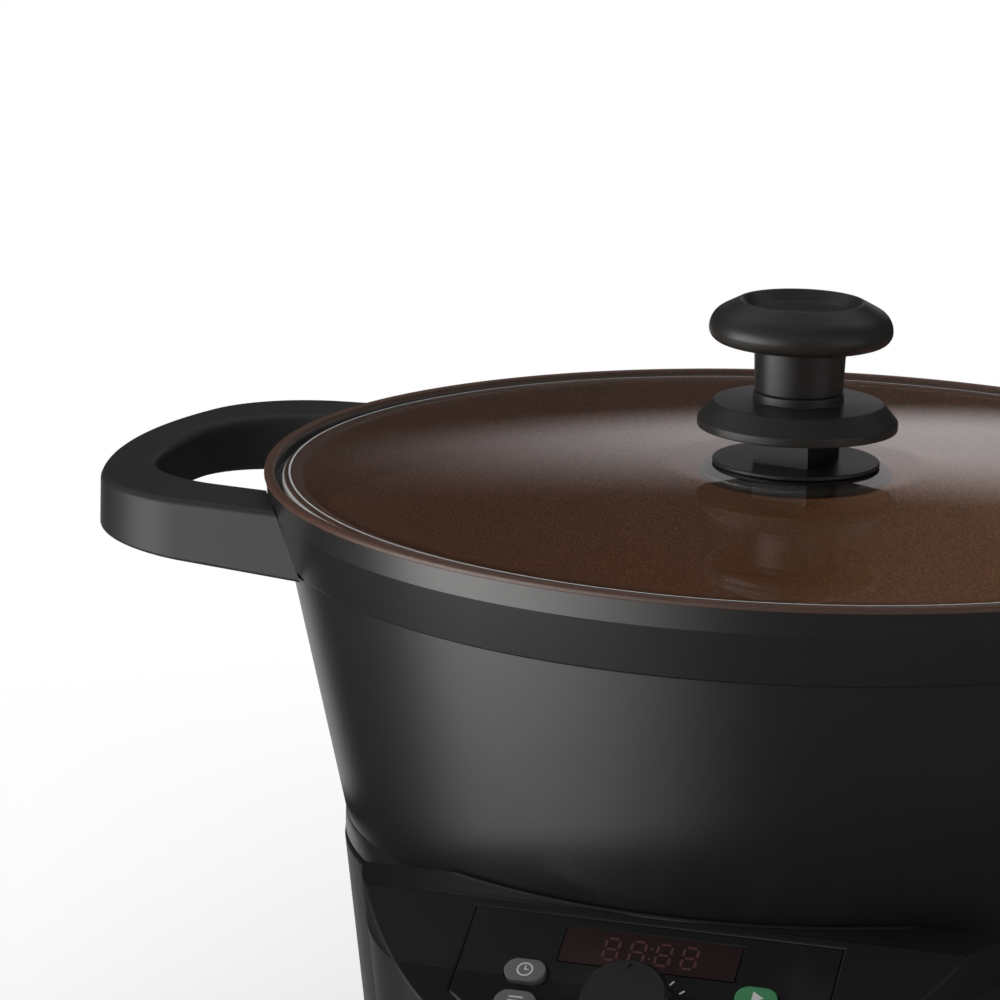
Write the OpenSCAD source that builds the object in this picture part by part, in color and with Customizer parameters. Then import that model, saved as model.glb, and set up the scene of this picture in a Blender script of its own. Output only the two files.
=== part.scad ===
// Countertop multicooker: a round cast pot with a lift-off glass lid, standing in an electric base.
// Millimetres, +Z up. The origin is on the table under the pot's axis; the controls face -Y.

/* [Pot] */
// Outer radius of the lip
lip_r = 144; // [140:0.5:150]
// Width of the lip outside the lid's recess
lip_w = 2.8; // [2:0.1:4]
// Height of the lip band
lip_t = 1.5; // [1:0.1:3]
// Depth of the collar's lower edge below the lip
collar_d = 7.8; // [6:0.1:10]
// How far the collar tapers in
collar_in = 1.2; // [0.5:0.1:2]
// Depth of the shoulder's lower edge below the lip
shoulder_d = 21.6; // [18:0.1:26]
// How far the shoulder's lower edge lies inside the lip
shoulder_in = 5.8; // [4:0.1:7]
// Step from the shoulder's edge to the wall
shoulder_step = 1; // [0.5:0.1:2]
// Lean of the wall from the vertical
wall_lean = 13.4; // [12:0.1:14]
// Thickness of the wall and the floor
pot_wall = 4; // [3:0.1:5]
// Outer depth of the pot
pot_depth = 126; // [122:1:130]
// Radius of the corner between wall and floor
foot_round = 14; // [10:0.5:18]
// Depth of the ledge that carries the lid
seat_d = 4.7; // [4:0.1:6]
// How far the skirts stand out from the wall at their lower edge
skirt_out = 1.48; // [0.6:0.02:3]
// Depth of the skirts' lower edge below the lip
skirt_d = 100; // [98:0.5:102]
// Half width of the straight stretch of a skirt's edge
skirt_flat = 70; // [60:1:76]
// Radius of the sweep that ends a skirt's edge
skirt_sweep = 54; // [45:1:60]

/* [Lid] */
// Gap between the glass and the lip round it
lid_gap = 2.1; // [1.5:0.1:4]
// Thickness of the glass
glass_t = 4; // [3.5:0.1:4.5]
// Rise of the glass from its edge to its middle
glass_rise = 5; // [3:0.1:8]
// Radius of the flat seat in the middle of the glass
glass_flat_r = 26; // [24:0.5:32]
// Radius of the hole in the glass
glass_hole_r = 4.3; // [4:0.1:5]

/* [Knob] */
// Radius of the grip at its widest
grip_r = 24.9; // [22:0.1:27]
// Radius of the grip's rounded edge
grip_round = 7.4; // [6:0.1:9]
// Depth of the dish in the grip's top
grip_dish = 2.7; // [1:0.1:3.5]
// Distance of the dish's edge inside the crest
dish_in = 1.3; // [0.5:0.1:3]
// Width of the dish's leaning side
dish_side = 2.8; // [1:0.1:3.2]
// Height of the grip from the collar to its crest
grip_h = 24.8; // [20:0.1:30]
// Height of the stem below the grip's head
stem_h = 13.6; // [11:0.1:15]
// Radius of the stem at its foot
stem_r = 12; // [10:0.1:13]
// Widening of the stem towards the head
stem_flare = 0.5; // [0:0.1:1]
// Radius of the flange
flange_r = 27.2; // [25:0.1:30]
// Height of the flange's straight edge
flange_edge = 2.3; // [1.5:0.1:3]
// Height of the flange's bevel
flange_bevel = 4.8; // [3:0.1:6]
// Inset of the flange's bevel
flange_inset = 4.1; // [3:0.1:6]
// Height of the collar on the flange
knob_collar_h = 2.8; // [2:0.1:4]
// Width of the neck between flange and glass
neck_w = 16; // [14:0.5:18]
// Length of the neck between flange and glass
neck_l = 22; // [18:0.5:26]
// Height of the neck
neck_h = 10.1; // [8:0.1:12]
// Turn of the neck about the axis
neck_turn = -9; // [-45:1:45]
// Thickness of the seal under the glass
seal_t = 0.8; // [0.5:0.1:1.5]
// Radius of the back plate under the glass
plate_r = 26.5; // [20:0.5:27]
// Thickness of the back plate
plate_t = 2.2; // [1.5:0.1:3]
// Radius of the knob screw's shank
knob_screw_r = 2.5; // [2:0.1:3]

/* [Side handles] */
// Depth of the handles' top face below the lip
handle_d = 6; // [5:0.1:8]
// How far the handles stand out from the lip
handle_out = 47.7; // [42:0.1:56]
// Width of the bar that the hand holds
bar_w = 13; // [10:0.5:16]
// Half width of a handle
handle_half = 69.5; // [64:0.5:74]
// Width of a handle's arms
arm_w = 24; // [20:0.5:28]
// Radius of a handle's outer corners
corner_r = 38; // [30:1:44]
// Radius of the long arc at the loop's end
end_r = 140; // [110:5:180]
// Radius of the finger opening's corners
opening_r = 32; // [24:1:36]
// Thickness of a handle at its outer end
tip_t = 14.5; // [12:0.5:18]
// Slope of a handle's underside
under_slope = 3.6; // [1:0.1:6]
// Gap between a handle and the pot's wall
handle_gap = 0.2; // [0.1:0.05:0.5]
// Length of a handle screw
handle_screw_l = 10.7; // [10:0.1:11.5]

/* [Base] */
// Gap between the pot's skirts and the base's rim
rim_gap = 2; // [1:0.1:3]
// How far the base's rim rises from its sides to its front and rear
rim_rise = 13.5; // [12:0.5:15]
// Lean of the base's wall from the vertical
base_lean = 7.4; // [5:0.1:9]
// Flare of the base's rim at the front and rear
rim_flare = 3.8; // [3:0.1:6]
// Wall of the base housing
base_wall = 2.5; // [2:0.1:3]
// Gap between the pot and the base
well_gap = 0.5; // [0.4:0.1:1.5]
// Height of the floor that carries the heater
deck_z = 40; // [36:0.5:44]
// Thickness of that floor
deck_t = 3; // [2.5:0.1:4]
// Height of the feet
foot_h = 8; // [6:0.5:12]
// Radius of a foot
foot_r = 9; // [7:0.5:12]
// Thickness of the bottom cover
cover_t = 2.5; // [2:0.1:3.5]

/* [Control cowl] */
// Radius of the cowl's round front
cowl_r = 88; // [84:1:94]
// How far the cowl stands out in front of the base's rim
cowl_out = 50; // [46:1:56]
// Wall of the cowl
cowl_wall = 3; // [2.5:0.1:4]
// Slope of the control face
face_slope = 35; // [30:1:40]
// Half width of the control panel
panel_half = 48; // [46:0.5:54]
// Distance of the panel's top edge from the cowl's ridge
panel_top = 3; // [2.5:0.1:4]
// Margin between the panel and the cowl's round edge
panel_margin = 7; // [6:0.5:9]
// Thickness of the panel
panel_t = 1.8; // [1.5:0.1:2]
// Width of the ledge that carries the panel
panel_ledge = 3; // [2:0.1:3.5]
// Width of the display window
window_w = 46; // [36:1:50]
// Height of the display window
window_h = 11; // [9:0.5:12]
// Thickness of the display window
window_t = 1.2; // [1:0.1:1.5]
// Distance of the display from the ridge
window_v = 11.5; // [10:0.5:13]

/* [Dial and buttons] */
// Distance of the dial from the ridge
dial_v = 33; // [32:0.5:35]
// Radius of the dial
dial_r = 13; // [11:0.5:14]
// Height of the dial above the panel
dial_h = 11.5; // [9:0.5:15]
// Radius of the dial's shaft
shaft_r = 3; // [2.5:0.1:3.5]
// Radial clearance of running fits
run_fit = 0.05; // [0.02:0.01:0.1]
// Length of a button
button_l = 11; // [9:0.5:12]
// Width of a button
button_w = 7; // [6:0.5:8]
// Height of a button above the panel
button_rise = 1.5; // [1:0.1:2]
// Travel of a button
button_travel = 0.8; // [0.5:0.1:1]
// Gap round a button
button_gap = 0.3; // [0.2:0.05:0.5]
// Sideways distance of the buttons from the middle
button_x = 30; // [28:0.5:32]
// Distance of the upper buttons from the ridge
button_v = 22; // [21:0.5:24]
// Distance from upper to lower buttons
button_pitch = 10; // [9.5:0.5:11]

/* [Heater] */
// Height of the room between the liner's floor and the hotplate
heater_room = 18.2; // [16:0.1:24]
// Radius of the hotplate
hotplate_r = 92; // [80:1:98]
// Thickness of the hotplate
hotplate_t = 12; // [9:0.5:14]
// Radius of the heating element's ring
element_ring_r = 62; // [50:1:72]
// Radius of the heating element's tube
element_r = 4; // [3:0.1:5]
// Radius of the sensor's cap
sensor_r = 13.5; // [10:0.5:16]
// Travel of the sensor
sensor_travel = 3; // [2:0.1:4]
// Radius of the sensor's stem
sensor_stem_r = 5; // [4:0.1:6]
// Sheet thickness of the liner
liner_t = 0.8; // [0.6:0.1:1]
// Radius of the cord's way through the gland
gland_bore_r = 3.7; // [3:0.1:4.2]
// Radius of the gland's barrel
gland_r = 6; // [5.5:0.1:7]

/* [Hidden] */
$fn = 96;
// Overlap that lets cuts run past a face
past = 1;
// Clearance of parts that are laid in a pocket
lay_fit = 0.2;
// Clearance of screws in their holes
screw_fit = 0.1;
// Depth of the flats ground on the glass at its edge and its middle
glass_land = 0.3;
// Clearance of pieces that are pressed together
press_fit = 0.02;

// Heights from the table up to the lip
cover_top = foot_h + cover_t;
deck_top = deck_z + deck_t;
liner_floor = deck_top + liner_t;
hotplate_z = liner_floor + heater_room;
pot_bottom = hotplate_z + hotplate_t;
rim_h = pot_bottom + pot_depth;

// Heights down from the lip
function below_lip(d) = rim_h - d;
skirt_z = below_lip(skirt_d);
wing_z = skirt_z - rim_gap;
front_rim_z = wing_z + rim_rise;
seat_z = below_lip(seat_d);
glass_top = seat_z + glass_t - glass_land + glass_rise;

// Radii of the pot's wall
wall_top_r = lip_r - shoulder_in - shoulder_step;
function wall_r(z) = wall_top_r - (below_lip(shoulder_d) - z) * tan(wall_lean);
wall_across = pot_wall / cos(wall_lean);
recess_r = lip_r - lip_w;
glass_r = recess_r - lid_gap;
bore_r = wall_top_r - wall_across;
skirt_r = wall_r(skirt_z) + skirt_out;
handle_reach = lip_r + handle_out;

// Radii of the base's wall
wing_out = 0.2;
wing_r = skirt_r + wing_out;
rim_r = wing_r + rim_flare;
cowl_y = rim_r + cowl_out - cowl_r;
function base_r(z) = wing_r - (wing_z - z) * tan(base_lean);

// Half a wall with a rounded foot: tangent arc between the leaning wall and a floor at z
function foot_centre(floor_z, radius, inset) =
    [wall_r(floor_z + radius) - inset - radius / cos(wall_lean), floor_z + radius];
function foot_tangent(centre, radius) =
    [centre[0] + radius * cos(wall_lean), centre[1] - radius * sin(wall_lean)];

module foot_outline(floor_z, radius, inset, upper) {
    centre = foot_centre(floor_z, radius, inset);
    polygon(concat([[0, floor_z], [centre[0], floor_z], foot_tangent(centre, radius)], upper));
    translate(centre) circle(r = radius);
}

module pot_outline() {
    foot_outline(pot_bottom, foot_round, 0, [
        [wall_top_r, below_lip(shoulder_d)],
        [lip_r - shoulder_in, below_lip(shoulder_d)],
        [lip_r - collar_in, below_lip(collar_d)],
        [lip_r - lip_t / 5, below_lip(lip_t)],
        [lip_r, below_lip(lip_t)],
        [lip_r, rim_h - lip_t / 2],
        [lip_r - lip_t / 2, rim_h],
        [0, rim_h]]);
}

module cavity_outline() {
    foot_outline(pot_bottom + pot_wall, foot_round - pot_wall / 2, wall_across, [
        [bore_r, below_lip(shoulder_d)],
        [bore_r, seat_z],
        [recess_r, seat_z],
        [recess_r, rim_h - lip_t / 2],
        [recess_r + lip_t / 2, rim_h],
        [recess_r + lip_t / 2, rim_h + past],
        [0, rim_h + past]]);
}

// Side view of the sweep that the skirts end in and the rim follows, drawn as Y and Z
module sweep_outline(grow, top) {
    centre_z = skirt_z + skirt_sweep;
    reach = skirt_flat + skirt_sweep;
    intersection() {
        union() {
            translate([-skirt_flat, skirt_z - grow]) square([2 * skirt_flat, skirt_sweep + grow]);
            for (side = [-1, 1]) {
                translate([side * skirt_flat, centre_z]) circle(r = skirt_sweep + grow);
            }
        }
        translate([-reach, skirt_z - grow]) square([2 * reach, top - skirt_z + grow]);
    }
}

module along_x(length) {
    rotate([90, 0, 90]) translate([0, 0, -length / 2]) linear_extrude(length) children();
}

module skirts() {
    skirt_top = front_rim_z + rim_gap;
    difference() {
        intersection() {
            translate([0, 0, skirt_z]) cylinder(r = skirt_r, h = skirt_top - skirt_z);
            along_x(2 * lip_r) sweep_outline(0, skirt_top);
        }
        rotate_extrude() cavity_outline();
    }
}

// Lugs on the pot's wall that the handles are screwed to
lug_w = 9;
lug_reach = 14;
lug_h = 8;
lug_root = 20;
lug_d = 5;
lug_roof = 1;
lug_y = handle_half - arm_w / 2;
lug_top = below_lip(handle_d + lug_d);
lug_x = sqrt(pow(lip_r - collar_in, 2) - pow(lug_y, 2));
lug_hole_x = lug_x + lug_reach / 2;
handle_screw_r = 2;
handle_head_r = 4;
handle_head_h = 2.6;
handle_screw_bite = 6.5;
handle_screw_seat = lug_top - lug_h + handle_screw_bite - handle_screw_l + handle_head_h;

module each_lug() {
    for (side = [-1, 1], end = [-1, 1]) {
        translate([side * lug_hole_x, end * lug_y, 0]) children();
    }
}

module lug_blocks(grow) {
    for (side = [-1, 1], end = [-1, 1]) {
        translate([side * (lug_hole_x - lug_root / 2), end * lug_y, lug_top - lug_h / 2])
            cube([lug_reach + lug_root, lug_w, lug_h] + 2 * grow * [1, 1, 1], center = true);
    }
}

module pot_shell() {
    color([0.06, 0.06, 0.065]) difference() {
        union() {
            rotate_extrude() difference() {
                pot_outline();
                cavity_outline();
            }
            skirts();
            difference() {
                lug_blocks(0);
                rotate_extrude() pot_outline();
            }
        }
        each_lug() translate([0, 0, lug_top - lug_h - past])
            cylinder(r = handle_screw_r + screw_fit, h = lug_h - lug_roof + past);
    }
}

// Plan of the left handle: a long arc with round corners, and its finger opening
module rounded_end(reach, half, radius, arc) {
    arc_x = arc - reach;
    corner_x = arc_x - sqrt(pow(arc - radius, 2) - pow(half - radius, 2));
    intersection() {
        translate([arc_x, 0]) circle(r = arc);
        union() {
            translate([corner_x, -half]) square([-corner_x, 2 * half]);
            translate([-reach, radius - half]) square([reach, 2 * (half - radius)]);
            for (end = [-1, 1]) {
                translate([corner_x, end * (half - radius)]) circle(r = radius);
            }
        }
    }
}

module handle_plan() {
    difference() {
        rounded_end(handle_reach, handle_half, corner_r, end_r);
        rounded_end(handle_reach - bar_w, handle_half - arm_w, opening_r, end_r - bar_w);
    }
}

module handle_solid() {
    top = below_lip(handle_d);
    drop = (handle_reach - lip_r / 2) * tan(under_slope);
    difference() {
        translate([0, 0, top - tip_t - drop]) linear_extrude(tip_t + drop) handle_plan();
        translate([-handle_reach, 0, top - tip_t]) rotate([0, under_slope, 0])
            translate([-handle_reach, -handle_reach, -2 * tip_t])
                cube([3 * handle_reach, 2 * handle_reach, 2 * tip_t]);
        rotate_extrude() {
            translate([handle_gap, 0]) pot_outline();
            square([lip_r / 2, rim_h]);
        }
        lug_blocks(lay_fit);
        each_lug() translate([0, 0, lug_top - lug_h - 2 * tip_t])
            cylinder(r = handle_screw_r + 2 * screw_fit, h = 2 * tip_t);
        each_lug() translate([0, 0, handle_screw_seat - 2 * tip_t])
            cylinder(r = handle_head_r + 2 * screw_fit, h = 2 * tip_t);
    }
}

module left_handle() {
    color([0.05, 0.05, 0.05]) handle_solid();
}

module right_handle() {
    color([0.05, 0.05, 0.05]) mirror([1, 0, 0]) handle_solid();
}

module pan_screw(radius, length, head_r, head_h) {
    translate([0, 0, -head_h]) difference() {
        cylinder(r = head_r, h = head_h);
        translate([0, 0, -past]) cylinder(r = radius, h = past + head_h / 2, $fn = 6);
    }
    cylinder(r = radius, h = length - head_h);
}

module handle_screws() {
    color("silver") each_lug() translate([0, 0, handle_screw_seat])
        pan_screw(handle_screw_r, handle_screw_l, handle_head_r, handle_head_h);
}

// Lid: a shallow cap of two spheres with a rounded edge and a flat seat for the knob
glass_round = glass_t / 2;
glass_edge_r = glass_r - glass_round;
glass_edge_z = seat_z - glass_land + glass_round;
cap_r = (pow(glass_edge_r, 2) + pow(glass_rise, 2)) / (2 * glass_rise);
glass_under = glass_top - glass_t;
glass_seat = glass_top - glass_land;
glass_back = glass_under - glass_land;

module cap_outline(apex_z) {
    translate([0, apex_z - cap_r]) circle(r = cap_r, $fn = 4800);
}

module lid_outline() {
    intersection() {
        union() {
            difference() {
                cap_outline(glass_top);
                cap_outline(glass_under);
            }
            translate([0, glass_back]) square([glass_flat_r, glass_t]);
        }
        translate([glass_hole_r, seat_z]) square([glass_edge_r - glass_hole_r, glass_seat - seat_z]);
    }
    intersection() {
        translate([glass_edge_r, glass_edge_z]) circle(r = glass_round, $fn = 48);
        translate([glass_edge_r - past, seat_z]) square([glass_round + past, 2 * glass_t]);
    }
}

module lid_glass() {
    color([0.75, 0.8, 0.8, 0.5]) rotate_extrude() lid_outline();
}

// Knob, from the glass upwards
spigot_gap = 0.3;
collar_slope = 0.4;
grip_roof = 3;
screw_room = 1;
knob_head_r = 5;
knob_head_h = 2.4;
seal_in = 1.5;
flange_z = glass_seat + neck_h;
flange_top = flange_z + flange_edge + flange_bevel;
collar_top = flange_top + knob_collar_h;
head_z = collar_top + stem_h;
crest_z = collar_top + grip_h;

module knob_grip() {
    round_r = grip_r - grip_round;
    round_z = crest_z - grip_round;
    dish_z = crest_z - grip_dish;
    dish_r = round_r - dish_in;
    color([0.05, 0.05, 0.05]) difference() {
        rotate_extrude() difference() {
            union() {
                polygon([[0, collar_top], [stem_r, collar_top],
                    [stem_r + stem_flare, head_z], [round_r, head_z], [round_r, crest_z], [0, crest_z]]);
                intersection() {
                    translate([round_r, round_z]) circle(r = grip_round);
                    translate([0, head_z]) square([grip_r + past, grip_h]);
                }
            }
            polygon([[0, dish_z], [dish_r - dish_side, dish_z], [dish_r, crest_z],
                [dish_r, crest_z + past], [0, crest_z + past]]);
        }
        translate([0, 0, collar_top - past])
            cylinder(r = knob_screw_r + screw_fit, h = stem_h - grip_roof + past);
    }
}

module knob_flange() {
    collar_r = stem_r + stem_flare / 2;
    color([0.07, 0.07, 0.07]) difference() {
        union() {
            rotate_extrude() polygon([[0, flange_z], [flange_r, flange_z],
                [flange_r, flange_z + flange_edge], [flange_r - flange_inset, flange_top],
                [collar_r, flange_top + collar_slope], [collar_r, collar_top], [0, collar_top]]);
            rotate([0, 0, neck_turn]) translate([-neck_w / 2, -neck_l / 2, glass_seat])
                cube([neck_w, neck_l, neck_h + past]);
            translate([0, 0, glass_seat - glass_t / 2])
                cylinder(r = glass_hole_r - spigot_gap, h = glass_t / 2 + past);
        }
        translate([0, 0, glass_seat - glass_t])
            cylinder(r = knob_screw_r + screw_fit, h = collar_top - glass_seat + glass_t + past);
    }
}

module knob_seal() {
    color([0.08, 0.08, 0.08]) translate([0, 0, glass_back - seal_t]) difference() {
        cylinder(r = plate_r - seal_in, h = seal_t);
        translate([0, 0, -past]) cylinder(r = knob_screw_r + screw_fit, h = seal_t + 2 * past);
    }
}

module knob_backplate() {
    edge = plate_t / 2;
    color([0.05, 0.05, 0.05]) translate([0, 0, glass_back - seal_t - plate_t]) difference() {
        rotate_extrude() union() {
            square([plate_r - edge, plate_t]);
            translate([plate_r - edge, edge]) circle(r = edge, $fn = 32);
        }
        translate([0, 0, -past]) cylinder(r = knob_screw_r + screw_fit, h = plate_t + 2 * past);
    }
}

module knob_screw() {
    head_seat = glass_back - seal_t - plate_t;
    color("silver") translate([0, 0, head_seat])
        pan_screw(knob_screw_r, head_z - grip_roof - screw_room - head_seat + knob_head_h,
            knob_head_r, knob_head_h);
}

// Base: a round tub with a swept rim, a floor for the heater and bosses for the cover
boss_r = 4.5;
boss_pilot = 1.5;
pilot_l = 16;
boss_in = 12.3;
boss_ring = base_r(cover_top) - base_wall - boss_in;
boss_angles = [40, 140, 222, 318];
gland_up = 15.5;
gland_z = cover_top + gland_up;
gland_stand = 2;
gland_seat = base_r(gland_z) + gland_stand;
gland_pad = 4;
gland_pad_l = 9;
gland_l = 14;
gland_flange_t = 3;
gland_flange_w = 2.8;
gland_nut_w = 3.2;
gland_nut_t = 4;
neck_d = 10;
wire_way_w = 104;
wire_way_d = 6;
terminal_way = 3;

module at_bosses() {
    for (angle = boss_angles) {
        rotate([0, 0, angle]) translate([boss_ring, 0, 0]) children();
    }
}

module tub_outline(grow) {
    polygon([[0, cover_top], [base_r(cover_top) + grow, cover_top], [wing_r + grow, wing_z],
        [rim_r + grow, front_rim_z], [0, front_rim_z]]);
}

module well_outline() {
    neck_z = wing_z - neck_d;
    polygon([[0, deck_top], [base_r(deck_top) - base_wall, deck_top],
        [base_r(neck_z) - base_wall, neck_z],
        [wall_r(wing_z) + well_gap, wing_z],
        [wall_r(front_rim_z + past) + well_gap, front_rim_z + past], [0, front_rim_z + past]]);
}

module rim_cut(drop) {
    translate([0, 0, -drop]) along_x(4 * lip_r) union() {
        sweep_outline(rim_gap, front_rim_z);
        translate([-2 * lip_r, front_rim_z]) square([4 * lip_r, rim_h]);
        translate([-skirt_flat, wing_z]) square([2 * skirt_flat, rim_h]);
    }
}

module gland_cylinder(radius, from_y, to_y) {
    translate([0, from_y, gland_z]) rotate([-90, 0, 0]) cylinder(r = radius, h = to_y - from_y);
}

module base_housing() {
    color([0.05, 0.05, 0.055]) difference() {
        union() {
            difference() {
                rotate_extrude() tub_outline(0);
                rotate_extrude() well_outline();
                rotate_extrude() polygon([[0, cover_top - past],
                    [base_r(cover_top - past) - base_wall, cover_top - past],
                    [base_r(deck_z) - base_wall, deck_z], [0, deck_z]]);
                rim_cut(0);
            }
            at_bosses() translate([0, 0, cover_top])
                cylinder(r = boss_r, h = deck_top - cover_top - past);
            gland_cylinder(gland_r + gland_pad, gland_seat - gland_pad_l, gland_seat);
        }
        at_bosses() translate([0, 0, cover_top - past]) cylinder(r = boss_pilot, h = pilot_l + past);
        gland_cylinder(gland_r + lay_fit, gland_seat - gland_pad_l - past, gland_seat + past);
        translate([-wire_way_w / 2, -cowl_y - cowl_r, cover_top + wire_way_d])
            cube([wire_way_w, cowl_r, deck_z - cover_top - 2 * wire_way_d]);
        at_terminals() translate([0, 0, deck_z - past])
            cylinder(r = terminal_r + terminal_way, h = deck_t + 2 * past);
    }
}

// Cowl: a leaning cone in front of the tub, cut by the rim and by the control face
module on_face() {
    translate([0, -rim_r, front_rim_z]) rotate([face_slope, 0, 0]) children();
}

module cowl_cone(inset) {
    translate([0, -cowl_y, cover_top])
        cylinder(r1 = cowl_foot_r - inset, r2 = cowl_r - inset, h = front_rim_z - cover_top);
}

module above_face(depth) {
    size = 4 * cowl_r;
    on_face() translate([-size / 2, -size, -depth]) cube([size, size + cowl_r, size]);
}

module cowl_solid(inset) {
    difference() {
        cowl_cone(inset);
        above_face(inset);
        rim_cut(inset);
    }
}

// A plate that follows the control face, straight above and round below
module face_plate(half, top_v, margin, from_n, to_n) {
    length = 2 * cowl_r;
    intersection() {
        cowl_cone(margin);
        on_face() translate([-half, -top_v - length, from_n])
            cube([2 * half, length, to_n - from_n]);
    }
}

module panel_slab(inset, from_n, to_n) {
    face_plate(panel_half - inset, panel_top + inset, panel_margin + inset, from_n, to_n);
}

cowl_boss_h = 30;
cowl_boss_sink = 2.3;
cowl_boss_turn = 39.2;
cowl_fit = 0.15;
cowl_foot_r = cowl_r - (front_rim_z - cover_top) * tan(base_lean);
cowl_boss_ring = cowl_foot_r - cowl_wall - boss_r + cowl_boss_sink;

// Two places on a ring round the cowl's axis, to either side of its front
module round_cowl(ring, turn) {
    for (side = [-1, 1]) {
        translate([side * ring * sin(turn), -cowl_y - ring * cos(turn), 0]) children();
    }
}

module at_cowl_bosses() {
    round_cowl(cowl_boss_ring, cowl_boss_turn) children();
}

module front_cowl() {
    color([0.03, 0.03, 0.035]) difference() {
        cowl_solid(0);
        difference() {
            cowl_solid(cowl_wall);
            at_cowl_bosses() translate([0, 0, cover_top]) cylinder(r = boss_r, h = cowl_boss_h);
        }
        translate([0, -cowl_y, cover_top - past])
            cylinder(r = cowl_r - cowl_wall - front_rim_z * tan(base_lean), h = 2 * past);
        rotate_extrude() tub_outline(cowl_fit);
        panel_slab(-lay_fit, -panel_t, cowl_wall);
        panel_slab(panel_ledge, -3 * cowl_wall, cowl_wall);
        at_cowl_bosses() translate([0, 0, cover_top - past])
            cylinder(r = boss_pilot, h = pilot_l + past);
    }
}

// Control panel and what is behind it, in the control face's own frame
board_n = -11;
board_t = 1.6;
board_in = 6;
board_top = 9;
board_margin = 14;
board_screw_l = 6.5;
board_head_r = 2;
board_head_h = 1.4;
post_in = 10;
post_side = 7;
post_drop = 6;
post_low_x = dial_r + post_side;
post_low_v = dial_v + post_drop;
post_r = 2.4;
post_pilot = 1;
post_pilot_l = 7;
switch_w = 6;
switch_h = 3.3;
switch_cap_r = 1.7;
switch_cap_h = 0.8;
encoder_size = 12;
encoder_h = 6.5;
encoder_floor = 1;
shaft_way = 0.6;
window_ledge = 2;
display_in = 2.5;
display_gap = 0.1;

module pill(length, width, height) {
    half = (length - width) / 2;
    linear_extrude(height) union() {
        square([2 * half, width], center = true);
        for (side = [-1, 1]) {
            translate([side * half, 0]) circle(d = width, $fn = 48);
        }
    }
}

function button_place(side, row) = [side * button_x, -(button_v + row * button_pitch), 0];

module at_buttons() {
    for (side = [-1, 1], row = [0, 1]) {
        translate(button_place(side, row)) children();
    }
}

module at_posts() {
    for (side = [-1, 1]) {
        translate([side * (panel_half - post_in), -window_v, 0]) children();
        translate([side * post_low_x, -post_low_v, 0]) children();
    }
}

module window_block(grow, from_n, to_n) {
    translate([0, -window_v, from_n]) linear_extrude(to_n - from_n)
        square([window_w + 2 * grow, window_h + 2 * grow], center = true);
}

module control_panel() {
    color([0.02, 0.02, 0.025]) difference() {
        union() {
            panel_slab(0, -panel_t, 0);
            on_face() at_posts() translate([0, 0, board_n])
                cylinder(r = post_r, h = -board_n - panel_t / 2);
        }
        on_face() {
            at_buttons() translate([0, 0, -panel_t - past])
                pill(button_l + 2 * button_gap, button_w + 2 * button_gap, panel_t + 2 * past);
            translate([0, -dial_v, -panel_t - past])
                cylinder(r = shaft_r + shaft_way, h = panel_t + 2 * past);
            window_block(lay_fit, -window_t, past);
            window_block(-window_ledge, -panel_t - past, past);
            at_posts() translate([0, 0, board_n - past]) cylinder(r = post_pilot, h = post_pilot_l);
        }
    }
}

module display_window() {
    color([0.1, 0.02, 0.02]) on_face() window_block(0, -window_t, 0);
}

module display_module() {
    color("dimgrey") on_face() window_block(-display_in, board_n, -window_t - display_gap);
}

module control_board() {
    color("darkgreen") difference() {
        face_plate(panel_half - board_in, board_top, board_margin, board_n - board_t, board_n);
        on_face() at_posts() translate([0, 0, board_n - board_t - past])
            cylinder(r = post_pilot + screw_fit, h = board_t + 2 * past);
    }
}

module tact_switches() {
    color("black") on_face() at_buttons() translate([0, 0, board_n]) {
        translate([-switch_w / 2, -switch_w / 2, 0]) cube([switch_w, switch_w, switch_h - switch_cap_h]);
        cylinder(r = switch_cap_r, h = switch_h);
    }
}

module encoder_body() {
    half = encoder_size / 2;
    color("silver") on_face() translate([0, -dial_v, board_n]) difference() {
        translate([-half, -half, 0]) cube([encoder_size, encoder_size, encoder_h]);
        translate([0, 0, encoder_floor]) cylinder(r = shaft_r + run_fit, h = encoder_h);
    }
}

module board_screws() {
    color("silver") on_face() at_posts() translate([0, 0, board_n - board_t])
        pan_screw(post_pilot, board_screw_l, board_head_r, board_head_h);
}

// Dial: a knurled cap on a skirt, with a dot that marks its place
dial_lift = 0.6;
dial_skirt = 1.2;
dial_skirt_h = 2.5;
dial_slope = 0.6;
dial_edge = 1;
dial_roof = 4;
knurl_count = 24;
knurl_r = 0.9;
knurl_z = 4;
mark_r = 1.1;
mark_d = 0.6;
mark_in = 4.6;
shaft_end_gap = 0.2;

module control_dial() {
    cap_r = dial_r - dial_skirt;
    cap_h = dial_h - dial_lift;
    color([0.1, 0.1, 0.1]) on_face() translate([0, -dial_v, dial_lift]) difference() {
        rotate_extrude() polygon([[0, 0], [dial_r, 0], [dial_r, dial_skirt_h],
            [cap_r, dial_skirt_h + dial_slope], [cap_r - dial_slope, cap_h - dial_edge],
            [cap_r - dial_slope - dial_edge, cap_h], [0, cap_h]]);
        for (i = [0 : knurl_count - 1]) {
            rotate([0, 0, i * 360 / knurl_count]) translate([cap_r + dial_slope, 0, knurl_z])
                cylinder(r = knurl_r, h = dial_h, $fn = 24);
        }
        translate([0, 0, -past]) cylinder(r = shaft_r + press_fit, h = dial_h - dial_roof + past);
        translate([0, dial_r - mark_in, cap_h - mark_d]) cylinder(r = mark_r, h = past, $fn = 32);
    }
}

module dial_shaft() {
    shaft_low = board_n + encoder_floor + shaft_end_gap;
    color("silver") on_face() translate([0, -dial_v, shaft_low])
        cylinder(r = shaft_r, h = dial_h - dial_roof - shaft_low);
}

// Buttons: a cap that shows, a flange behind the panel and a rod to the switch
button_flange = 1;
button_flange_t = 1;
button_back_gap = 0.1;
button_rod_r = 1.5;

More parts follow.
